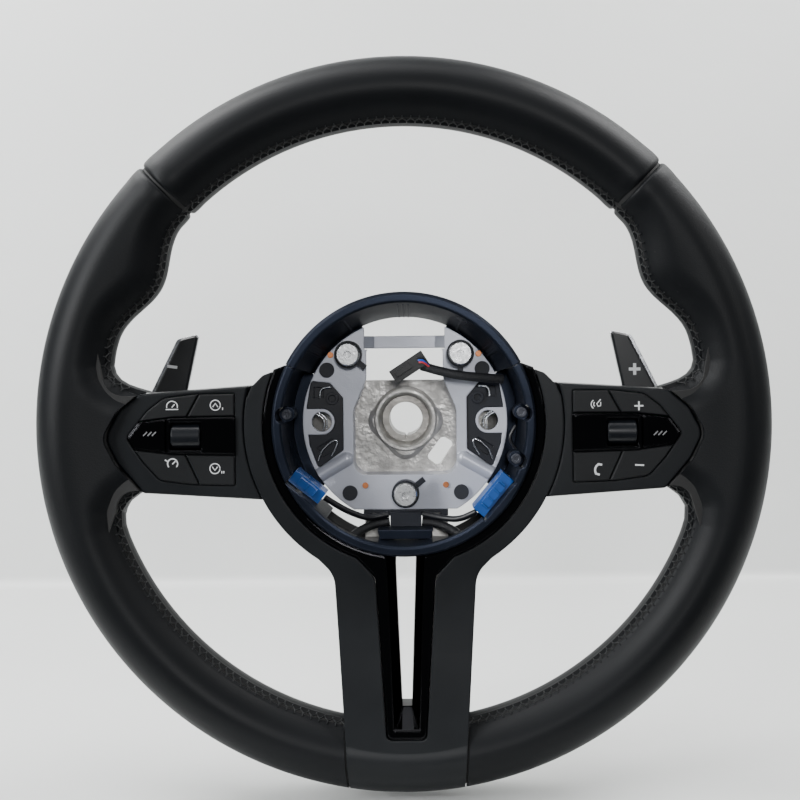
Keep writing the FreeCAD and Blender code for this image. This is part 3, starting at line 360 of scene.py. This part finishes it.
# the inner edge where it turns on to the side spokes: degrees from the top, then radius
shoulder = [
    (75.5, 0.1500), (78.2, 0.1494), (79.6, 0.1476), (80.6, 0.1447), (81.3, 0.1405), (81.75, 0.1355),
    (82.1, 0.1300), (82.9, 0.1220), (103.0, 0.1220), (103.7, 0.1310), (104.3, 0.1372),
    (105.3, 0.1432), (107.0, 0.1477), (109.5, 0.1496), (112.0, 0.1500),
]
podOutline = [
    (-0.060, 0.0208), (-0.1315, 0.0162), (-0.142, 0.0075), (-0.149, -0.0055),
    (-0.1425, -0.0185), (-0.130, -0.033), (-0.060, -0.0375),
]


# radius of the inner edge at each angle, with the thumb rests
def contourRadius(deg):
    deg = np.asarray(deg, float)
    bulge = np.abs(deg - grip["thumbDeg"]) / grip["thumbSpan"]
    rise = np.where(bulge < 1, grip["thumbRise"] * np.cos(np.minimum(bulge, 1) * math.pi / 2) ** 2, 0)
    base = np.interp(deg, [p[0] for p in shoulder], [p[1] for p in shoulder])
    return base - rise


# points (|x|, z) of the inner edge at the given angles
def edgePoints(deg):
    r = contourRadius(np.abs(deg))
    a = np.radians(deg)
    return np.stack([r * np.sin(a), r * np.cos(a)], 1)


# distance from each point to the nearest of the lines
def distanceTo(points, lines):
    best = np.full(len(points), 1e9)
    for line in lines:
        a, b = line[:-1], line[1:]
        span = b - a
        size = np.maximum((span ** 2).sum(1), 1e-18)
        for start in range(0, len(points), 4000):
            p = points[start:start + 4000]
            t = ((p[:, None, :] - a[None]) * span[None]).sum(2) / size
            near = a[None] + np.clip(t, 0, 1)[..., None] * span[None]
            d = np.sqrt(((p[:, None, :] - near) ** 2).sum(2)).min(1)
            best[start:start + 4000] = np.minimum(best[start:start + 4000], d)
    return best


def insidePolygon(points, polygon):
    inside = np.zeros(len(points), bool)
    x, z = points[:, 0], points[:, 1]
    n = len(polygon)
    for i in range(n):
        x0, z0 = polygon[i]
        x1, z1 = polygon[(i + 1) % n]
        crosses = (z0 > z) != (z1 > z)
        at = x0 + (z - z0) / ((z1 - z0) or 1e-12) * (x1 - x0)
        inside ^= crosses & (x < at)
    return inside


aboveSpoke = np.concatenate([np.arange(0, 77, 0.5), np.arange(77, 82.8, 0.08)])
belowSpoke = np.concatenate([np.arange(103.2, 110, 0.08), np.arange(110, 180, 0.5)])
edgeLines = [edgePoints(aboveSpoke), edgePoints(belowSpoke)]
podLine = np.array([(-x, z) for x, z in podOutline])


# half thickness of the grip over points (|x|, z), and the distance to its inner edge
def skinHeight(points):
    radius = np.hypot(points[:, 0], points[:, 1])
    fromOuter = np.clip(grip["outer"] - radius, 0, None)
    fromInner = distanceTo(points, edgeLines)
    half = grip["half"]

    def rise(d):
        return np.sqrt(np.clip(1 - (1 - np.minimum(d, half) / half) ** 2, 0, 1))

    slope = np.clip((fromOuter - half) / grip["webRun"], 0, 1)
    slope = slope * slope * (3 - 2 * slope)
    depth = grip["depth"] - grip["webDrop"] * slope
    return depth * rise(fromOuter) * rise(fromInner), fromInner


# angles round the cross section, with extra ones across the lacing channel
def ringAngles(turns):
    channel = math.pi - grip["laceLift"]
    across = [channel + k / gripRound * 0.001
              for k in (-3.4, -2.7, -2.3, -1.9, -1.5, -0.9, 0.0, 0.9, 1.5, 1.9, 2.3, 2.7, 3.4)]
    even = [2 * math.pi * i / turns for i in range(turns)]
    return np.array(sorted(set([angle for angle in even if abs(angle - channel) > 0.21] + across)))


# closed leather tube over a run of angles, positive on the left; endRoll turns in its two ends
def buildGrip(name, degrees, mirror, endRoll, spoke):
    t = ringAngles(grip["webTurns"] if spoke else grip["turns"])
    deg = np.array(degrees)
    rc = contourRadius(np.abs(deg))
    mid = gripMid
    cosT = np.cos(t)[None, :]
    r = np.where(cosT >= 0, mid + grip["half"] * cosT, mid + (mid - rc)[:, None] * cosT)
    a = np.radians(np.abs(deg))[:, None]
    flat = np.stack([(r * np.sin(a)).ravel(), (r * np.cos(a)).ravel()], 1)
    height, fromInner = skinHeight(flat)
    sign = np.where(np.sin(t) > 0, -1.0, 1.0)[None, :].repeat(len(deg), 0).ravel()
    sign[np.abs(np.sin(t)[None, :].repeat(len(deg), 0).ravel()) < 1e-9] = 0
    y = grip["plane"] + sign * height
    if spoke:
        gap = distanceTo(flat, [np.vstack([podLine, podLine[:1]])])
        gap[insidePolygon(flat, [tuple(p) for p in podLine])] = 0
        edge = np.minimum(gap, grip["podReach"]) / grip["podReach"]
        limit = grip["podDepth"] + grip["podRise"] * (1 - (1 - edge) ** 2)
        y = np.where((sign < 0) & (height > limit), grip["plane"] - limit, y)
    side = np.where(deg < 0, 1.0, -1.0)[:, None].repeat(len(t), 1).ravel()
    if mirror:
        side = -side
    verts = np.stack([flat[:, 0] * side, y, flat[:, 1]], 1).reshape(len(deg), len(t), 3)
    # outward direction of the surface, from its two grid directions
    along = np.gradient(verts, axis=0)
    around = np.roll(verts, -1, 1) - np.roll(verts, 1, 1)
    normal = np.cross(along, around)
    normal /= np.maximum(np.linalg.norm(normal, axis=2, keepdims=True), 1e-12)
    centre = np.stack([-np.sin(np.radians(deg)) * mid * (-1 if mirror else 1),
                       np.full(len(deg), grip["plane"]), np.cos(np.radians(deg)) * mid], 1)
    outward = ((verts - centre[:, None, :]) * normal).sum((1, 2))
    normal *= np.where(outward.sum() < 0, -1.0, 1.0)
    # channel for the lacing, with raised lips, on the inside facing the driver
    angle = np.arccos(np.clip(1 - fromInner / grip["half"], -1, 1)).reshape(len(deg), len(t))
    signed = np.where(sign.reshape(angle.shape) < 0, angle, -angle)
    off = (signed - grip["laceLift"]) * gripRound
    channel = -grip["laceDepth"] / (1 + np.exp((np.abs(off) - grip["laceHalf"]) / 0.00016))
    lips = grip["lip"] * np.exp(-((np.abs(off) - grip["lipAt"]) / 0.0005) ** 2)
    # turned-in ends, with a slight pucker beside them
    travel = np.abs(np.radians(deg[:, None] - deg[[0, -1]][None, :])) * mid
    near = np.clip(travel / grip["roll"], 0, 1)
    fold = (1 - np.sqrt(np.clip(1 - (1 - near) ** 2, 0, 1))) * grip["roll"]
    shrink = fold[:, 0] * endRoll[0] + fold[:, 1] * endRoll[1]
    pucker = grip["pucker"] * np.exp(-((travel / grip["puckerAt"] - 1) ** 2) * 3)
    swell = pucker[:, 0] * endRoll[0] + pucker[:, 1] * endRoll[1]
    verts = verts + normal * (channel + lips + (swell - shrink)[:, None])[..., None]
    n, m = len(deg), len(t)
    faces = []
    for i in range(n - 1):
        for j in range(m):
            k = (j + 1) % m
            faces.append((i * m + j, i * m + k, (i + 1) * m + k, (i + 1) * m + j))
    flatVerts = [tuple(v) for v in verts.reshape(-1, 3)]
    faces.append(tuple(range(m)))
    faces.append(tuple(reversed(range((n - 1) * m, n * m))))
    return faceOutwards(meshObject(name, flatVerts, faces))


# block through the grip, from an (x, z) outline
def prismCutter(name, outline):
    y0, y1 = grip["cutFront"], grip["cutBack"]
    verts = [(x, y0, z) for x, z in outline] + [(x, y1, z) for x, z in outline]
    n = len(outline)
    faces = [tuple(range(n)), tuple(reversed(range(n, 2 * n)))]
    for i in range(n):
        k = (i + 1) % n
        faces.append((i, i + n, k + n, k))
    return faceOutwards(meshObject(name, verts, faces, smooth=False))


# cuts the cutter out of the mesh, then deletes the cutter
def carve(obj, cutter):
    change = obj.modifiers.new("carve", "BOOLEAN")
    change.operation = "DIFFERENCE"
    change.object = cutter
    change.solver = "EXACT"
    view = bpy.context.evaluated_depsgraph_get()
    result = bpy.data.meshes.new_from_object(obj.evaluated_get(view))
    obj.modifiers.clear()
    old = obj.data
    obj.data = result
    bpy.data.meshes.remove(old)
    bpy.data.objects.remove(cutter)


# outline with rounded corners, moved outwards by grow
def roundedOutline(points, radii, grow):
    n = len(points)
    pts = [Vector(p) for p in points]
    area = sum(pts[i].x * pts[(i + 1) % n].y - pts[(i + 1) % n].x * pts[i].y for i in range(n))
    turn = 1 if area > 0 else -1
    moved = []
    for i in range(n):
        a, b, c = pts[i - 1], pts[i], pts[(i + 1) % n]
        n1 = Vector(((b - a).y, -(b - a).x)).normalized() * turn
        n2 = Vector(((c - b).y, -(c - b).x)).normalized() * turn
        mean = (n1 + n2).normalized()
        moved.append(b + mean * (grow / max(0.3, mean.dot(n1))))
    out = []
    for i in range(n):
        a, b, c = moved[i - 1], moved[i], moved[(i + 1) % n]
        if radii[i] <= 0:
            out.append(tuple(b))
            continue
        u, v = (a - b).normalized(), (c - b).normalized()
        half = u.angle(v) / 2
        run = radii[i] / math.tan(half)
        centre = b + (u + v).normalized() * (radii[i] / math.sin(half))
        p, q = b + u * run - centre, b + v * run - centre
        for k in range(9):
            w = k / 8
            d = (p * (1 - w) + q * w).normalized() * radii[i]
            out.append(tuple(centre + d))
    return out


podRadii = [0, 0.003, 0.008, 0.009, 0.010, 0.003, 0]
# steps in degrees close to a turned-in end
rolled = np.array([0, 0.02, 0.06, 0.12, 0.2, 0.3, 0.42, 0.56, 0.74, 1.0, 1.4, 1.9, 2.6])
seamGapDeg = math.degrees(grip["seamGap"] / gripMid)
topStart = grip["seamDeg"] - seamGapDeg
topAngles = np.concatenate([-topStart + rolled, np.arange(-42, 42.1, 0.7), topStart - rolled[::-1]])
gripTop = buildGrip("gripTop", topAngles, False, (1, 1), False)
sideStart = grip["seamDeg"] + seamGapDeg
sideAngles = np.concatenate([
    sideStart + rolled, np.arange(48.3, 76.5, 0.6), np.arange(76.8, 83.1, 0.12),
    np.arange(83.35, 102.8, 0.25), np.arange(102.95, 110, 0.14), np.arange(110.4, 174.5, 0.7)])
gripSides = []
for label, flipped in (("gripLeft", False), ("gripRight", True)):
    obj = buildGrip(label, sideAngles, flipped, (1, 0), True)
    sign = 1 if flipped else -1
    shape = roundedOutline([(-x * sign, z) for x, z in podOutline], podRadii, grip["podGap"])
    carve(obj, prismCutter("podCutter", shape))
    top, low, gap = grip["legTop"], grip["legLow"], grip["legGap"]
    wedge = [(-(top[0] + gap), top[1]), (-(low[0] + gap), low[1] - 0.01),
             (low[0] + gap, low[1] - 0.01), (top[0] + gap, top[1])]
    carve(obj, prismCutter("legCutter", wedge))
    gripSides.append(obj)
place(gripTop, "wheel", looks["leather"])
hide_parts("leather_top")
for obj, node in zip(gripSides, ("leather_left", "leather_right")):
    place(obj, "wheel", looks["leather"])
    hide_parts(node)
    smoothShade(obj.data)
    obj.data.set_sharp_from_angle(angle=math.radians(grip["sharpDeg"]))
print("leather ready")

# lacing in the channel
lacing = {"pitch": 0.0021, "reach": 0.0021, "radius": 0.00030, "sink": 0.0004}


# point on the leather, off metres across the channel from its middle and lift above it
def channelPoint(edge, inward, off, lift):
    angle = grip["laceLift"] + off / gripRound
    c = grip["half"] * (1 - math.cos(angle))
    p = edge - inward * c
    y = grip["plane"] - grip["depth"] * math.sin(angle)
    nx = inward * math.cos(angle)
    ny = -math.sin(angle)
    return (p[0] + nx[0] * lift, y + ny * lift, p[1] + nx[1] * lift)


# zigzag thread along a stretch of the inner edge, given as (|x|, z) points
def laceRun(line, sign):
    steps = np.concatenate([[0], np.cumsum(np.linalg.norm(np.diff(line, axis=0), axis=1))])
    count = int(steps[-1] / lacing["pitch"])
    out = []
    previous = None
    for i in range(count + 1):
        s = i * lacing["pitch"]
        x = np.interp(s, steps, line[:, 0])
        z = np.interp(s, steps, line[:, 1])
        dx, dz = [np.interp(s + 0.0004, steps, line[:, k]) - np.interp(s - 0.0004, steps, line[:, k])
                  for k in (0, 1)]
        tangent = np.array([dx, dz]) / max(1e-9, math.hypot(dx, dz))
        inward = np.array([tangent[1], -tangent[0]])
        if inward @ np.array([x, z]) > 0:
            inward = -inward
        side = 1 if i % 2 else -1
        edge = np.array([x, z])
        tip = channelPoint(edge, inward, side * lacing["reach"], 0.00022)
        dive = channelPoint(edge, inward, side * (lacing["reach"] + lacing["sink"]), -0.0006)
        near = channelPoint(edge, inward, side * lacing["reach"] * 0.55, 0.00005)
        if previous:
            out.append([previous[0], previous[1], previous[2], near, tip, dive])
        previous = (dive, tip, near)
    return [[(p[0] * sign, p[1], p[2]) for p in line] for line in out]


laceLines = {"laceTop": laceRun(edgePoints(np.arange(-44.4, 44.4, 0.25)), -1)}
for label, sign in (("laceLeft", -1), ("laceRight", 1)):
    runs = laceRun(edgePoints(np.arange(45.8, 81.6, 0.06)), sign)
    runs += laceRun(edgePoints(np.arange(104.2, 168.3, 0.06)), sign)
    laceLines[label] = runs
for label, lines in laceLines.items():
    place(curveObject(label, lines, lacing["radius"]), "wheel", looks["thread"])
print("lacing ready")

# printed marks on keys and paddles: strokes are in millimetres
def arcLine(radius, start, end, steps=14, at=(0, 0)):
    out = []
    for i in range(steps + 1):
        a = math.radians(start + (end - start) * i / steps)
        out.append((at[0] + radius * math.cos(a), at[1] + radius * math.sin(a)))
    return out


# flat strokes round the point at, on the front of a node, each a hair in front of the last
def printMark(node, body, at, strokes, width, look="print"):
    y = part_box(node)[0][1] - 0.00005
    verts, faces = [], []
    for layer, stroke in enumerate(strokes):
        line = [Vector(p) for p in stroke]
        runs = [(b - a).normalized() for a, b in zip(line[:-1], line[1:])]
        line[0] = line[0] - runs[0] * width * 0.4
        line[-1] = line[-1] + runs[-1] * width * 0.4
        first = len(verts)
        for i, point in enumerate(line):
            ahead = (runs[max(0, i - 1)] + runs[min(i, len(runs) - 1)]).normalized()
            for side in (0.5, -0.5):
                x = at[0] + point.x - ahead.y * side * width
                z = at[1] + point.y + ahead.x * side * width
                verts.append((x / 1000, y - layer * 0.00002, z / 1000))
        for i in range(len(line) - 1):
            a = first + 2 * i
            faces.append((a, a + 2, a + 3, a + 1))
    place(meshObject("mark_" + node, verts, faces, smooth=False), body, looks[look])


plus = [[(-1.9, 0), (1.9, 0)], [(0, -1.9), (0, 1.9)]]
minus = [[(-1.9, 0.1), (1.9, -0.1)]]
ring = arcLine(2.5, 0, 360, 20)
gauge = [arcLine(2.5, -35, 215), [(0, 0), (1.3, 1.2)], [(-3.6, 1.9), (-2.7, 1.3)]]
fullGauge = [arcLine(2.7, -10, 190), [(0, -0.3), (1.2, 1.0)], [(-2.9, -1.4), (2.9, -1.4)]]
ringOne = [ring, [(-1.2, -0.8), (0, 0.9), (1.2, -0.8)], [(3.6, -2.2), (3.6, -1.4)]]
ringTwo = [ring, [(-1.2, 0.8), (0, -0.9), (1.2, 0.8)], [(3.4, -2.2), (3.4, -1.4)],
           [(4.4, -2.2), (4.4, -1.4)]]
voice = [arcLine(1.1, 125, 235, 8), arcLine(2.3, 125, 235, 10), [(0.5, 0.2), (2.3, 2.3)],
         [(0.5, 0.2), (1.1, -1.0), (2.4, -0.8), (2.4, 0.9)]]
handset = [arcLine(3.2, 112, 208, 10, at=(2.0, -0.4)), [(0.4, 2.5), (1.9, 2.3)], [(-0.7, -2.2), (0.7, -2.6)]]
bars = [[(-3, -0.8), (-1.4, 0.8)], [(-0.8, -0.8), (0.8, 0.8)], [(1.4, -0.8), (3, 0.8)]]
keyMarks = [
    ("upper_outer_left", (-115, 10), fullGauge, 0.5), ("upper_inner_left", (-93.5, 10.5), ringOne, 0.5),
    ("lower_outer_left", (-115, -18.4), gauge, 0.6), ("lower_inner_left", (-94, -21), ringTwo, 0.5),
    ("upper_inner_right", (95.4, 9), voice, 0.5), ("upper_outer_right", (116.8, 8), plus, 0.8),
    ("lower_inner_right", (95.9, -23.3), handset, 1.0), ("lower_outer_right", (116.8, -21.4), minus, 0.8),
]
for label, at, strokes, width in keyMarks:
    printMark("key_" + label, "key_" + label, at, strokes, width)
printMark("key_gloss_left", "key_gloss_left", (-126.2, -3.4), bars, 0.6, "dimPrint")
printMark("key_gloss_right", "key_gloss_right", (127.2, -5.6), bars, 0.6, "dimPrint")
wide = 2.0
printMark("paddle_cap_left", "paddle_left", (-121.9, 29.5), [[(-wide, 0.3), (wide, -0.3)]], 1.5)
printMark("paddle_cap_right", "paddle_right", (120.7, 25.8),
          [[(-wide - 0.4, 0), (wide + 0.4, 0)], [(0, -wide - 0.4), (0, wide + 0.4)]], 1.6)
print("marks ready")

# wire clips in the plate, and small wiring
clips = {"radius": 0.00042, "depth": -0.0335, "sunk": 0.004}  # sunk: the two inside the round holes
clipRoutes = [
    [(-46.8, 3.9), (-43.4, 2.6), (-41.8, -0.6), (-42.9, -4.6)],
    [(-45.6, 4.6), (-41.9, 2.9), (-40.5, -0.4), (-41.4, -4.0)],
    [(-44.2, 12.6), (-44.2, 16.4), (-41.6, 18.2), (-38.2, 18.0)],
    [(-45.4, -20.2), (-44.4, -17.2), (-43.2, -14.2), (-36.4, -8.6), (-34.8, -11.6), (-38.6, -17.8)],
]


for side, sign in (("left", 1), ("right", -1)):
    lines = [[(sign * x / 1000, clips["depth"] + (clips["sunk"] if i < 2 else 0), z / 1000)
              for x, z in route] for i, route in enumerate(clipRoutes)]
    place(curveObject("plateClips_" + side, lines, clips["radius"], kind="NURBS"), "wheel",
          looks["clipWire"])

tailRadius = 0.00055
tails = {
    "tailBlue": ("wireBlue", [(7.4, -48.9, 31.6), (9.2, -49.8, 32.0), (11.0, -48.9, 30.6),
                              (12.6, -47.8, 29.0)]),
    "tailRed": ("wireRed", [(7.8, -48.7, 30.6), (9.6, -49.6, 30.8), (11.4, -48.8, 29.6),
                            (12.8, -48.0, 28.4)]),
    "tailBlack": ("wireBlack", [(6.6, -48.8, 33.0), (8.8, -49.8, 33.2), (11.2, -48.6, 31.4),
                                (13.2, -47.2, 29.2)]),
}
for label, (look, route) in tails.items():
    line = [(x / 1000, y / 1000, z / 1000) for x, y, z in route]
    place(curveObject(label, [line], tailRadius, kind="NURBS"), "wheel", looks[look])

hook = [(0.0563, -0.0515, -0.0019), (0.0536, -0.0520, -0.0056), (0.0532, -0.0520, -0.0098),
        (0.0562, -0.0515, -0.0135)]
place(curveObject("springHook", [hook], 0.0009, kind="NURBS"), "wheel", looks["wireBlack"])


# bevelled block, turned by deg in the wheel plane
def smallBox(name, centre, size, deg, look):
    bm = bmesh.new()
    bmesh.ops.create_cube(bm, size=1.0)
    for v in bm.verts:
        v.co = Vector((v.co.x * size[0], v.co.y * size[1], v.co.z * size[2]))
    bmesh.ops.bevel(bm, geom=list(bm.edges), offset=min(size) * 0.18, segments=2, affect="EDGES")
    turn = math.radians(deg)
    for v in bm.verts:
        x, z = v.co.x, v.co.z
        v.co = Vector((centre[0] + x * math.cos(turn) - z * math.sin(turn), centre[1] + v.co.y,
                       centre[2] + x * math.sin(turn) + z * math.cos(turn)))
    mesh = bpy.data.meshes.new(name)
    bm.to_mesh(mesh)
    bm.free()
    place(linked(name, mesh), "wheel", looks[look])


# ribs on the connectors: node, turn, how many, and their pitch
latches = [("blue_connector_left", -38.5, 3, 0.0050), ("blue_connector_right", 50.0, 4, 0.0048)]
latchSize = (0.0009, 0.0010, 0.0038)
for node, deg, count, step in latches:
    low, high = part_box(node)
    middle = [(a + b) / 2 for a, b in zip(low, high)]
    front = low[1]
    turn = math.radians(deg)
    for i in range(count):
        shift = (i - (count - 1) / 2) * step
        spot = (middle[0] + shift * math.cos(turn), front - 0.0001, middle[2] + shift * math.sin(turn))
        smallBox("latch_%s_%d" % (node, i), spot, latchSize, deg, "blue")
print("wiring ready")

# the loose lead, whose far end carries the plug
lead = {
    "radius": 0.0024,
    "route": [(0.0505, -0.0430, 0.0215), (0.0375, -0.0463, 0.0226), (0.0223, -0.0470, 0.0246),
              (0.0089, -0.0457, 0.0288)],
}
leadCurve = curveObject("looseLead", [lead["route"]], lead["radius"], resolution=5, kind="NURBS")
place(leadCurve, "wheel", looks["sleeve"])
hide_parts("loose_lead")
print("lead ready")

# floor and wall in one sheet, rounded where they meet
room = {"floor": -0.1865, "wall": 0.49, "half": 3.0, "front": -0.16, "top": 2.4, "bend": 0.012}
profile = [(room["front"], room["floor"])]
for k in range(9):
    a = math.pi / 2 * k / 8
    profile.append((room["wall"] - room["bend"] + room["bend"] * math.sin(a),
                    room["floor"] + room["bend"] - room["bend"] * math.cos(a)))
profile.append((room["wall"], room["top"]))
verts, faces = [], []
for x in (-room["half"], room["half"]):
    verts += [(x, y, z) for y, z in profile]
n = len(profile)
faces = [(i, i + n, i + 1 + n, i + 1) for i in range(n - 1)]
backdrop = meshObject("backdrop", verts, faces)
wallLook = finish("paleWall", (0.62, 0.63, 0.62), 0.45, grain=40.0, depth=0.0005, blotch=3.0,
                  wear=0.0, mottle=0.05)
# seen from behind, the wall and floor let the view through
wallTree = wallLook.node_tree
behind = wallTree.nodes.new("ShaderNodeNewGeometry")
clear = wallTree.nodes.new("ShaderNodeBsdfTransparent")
choice = wallTree.nodes.new("ShaderNodeMixShader")
wallTree.links.new(behind.outputs["Backfacing"], choice.inputs[0])
wallTree.links.new(wallTree.nodes["Principled BSDF"].outputs["BSDF"], choice.inputs[1])
wallTree.links.new(clear.outputs["BSDF"], choice.inputs[2])
wallTree.links.new(choice.outputs["Shader"], wallTree.nodes["Material Output"].inputs["Surface"])
dress(backdrop, wallLook)


# area light that the camera doesn't see directly
def softBox(name, where, aim, size, power, color=(1, 1, 1)):
    light = bpy.data.lights.new(name, "AREA")
    light.shape = "RECTANGLE"
    light.size, light.size_y = size
    light.energy = power
    light.color = color
    obj = linked(name, light)
    obj.location = where
    obj.rotation_euler = (Vector(aim) - Vector(where)).to_track_quat("-Z", "Y").to_euler()
    obj.visible_camera = False


softBox("ceilingLight", (-0.25, -0.35, 1.6), (0.0, -0.05, 0.0), (1.2, 0.7), 13.0)
softBox("windowLight", (-1.5, -0.9, 0.7), (0.0, -0.05, 0.0), (0.5, 1.5), 17.0, (0.94, 0.975, 1.0))
softBox("rightStrip", (1.3, -0.8, 0.5), (0.0, -0.05, 0.0), (0.15, 0.8), 3.2, (1.0, 0.99, 0.97))
softBox("leftStrip", (-0.9, -0.75, 0.35), (0.0, -0.05, 0.0), (0.25, 0.7), 9.0)
softBox("hubPanel", (0.15, -1.9, 0.35), (0.0, 0.0, 0.0), (0.30, 0.30), 11.0)
softBox("wallLeft", (-0.75, 0.05, 0.95), (-0.3, 0.49, 0.05), (0.8, 0.5), 20.0)
softBox("wallRight", (0.75, 0.05, 0.95), (0.3, 0.49, 0.05), (0.8, 0.5), 19.0)

world = bpy.data.worlds.new("studio")
bpy.context.scene.world = world
world.use_nodes = True
sky = world.node_tree.nodes["Background"]
sky.inputs["Color"].default_value = (0.80, 0.85, 0.92, 1.0)
sky.inputs["Strength"].default_value = 0.10
print("room ready")

# camera: reach is the tangent of half the angle of view
view = {"place": (0.0126, -0.652, 0.0348), "reach": 0.3367, "shift": (-0.0356, -0.0575), "roll": 0.6}
lens = bpy.data.cameras.new("camera")
lens.sensor_width = 36.0
lens.lens = 18.0 / view["reach"]
lens.shift_x, lens.shift_y = view["shift"]
lens.clip_start = 0.01
camera = linked("camera", lens)
camera.location = view["place"]
camera.rotation_euler = (math.radians(90), math.radians(view["roll"]), 0)
bpy.context.scene.camera = camera

print("scene ready")
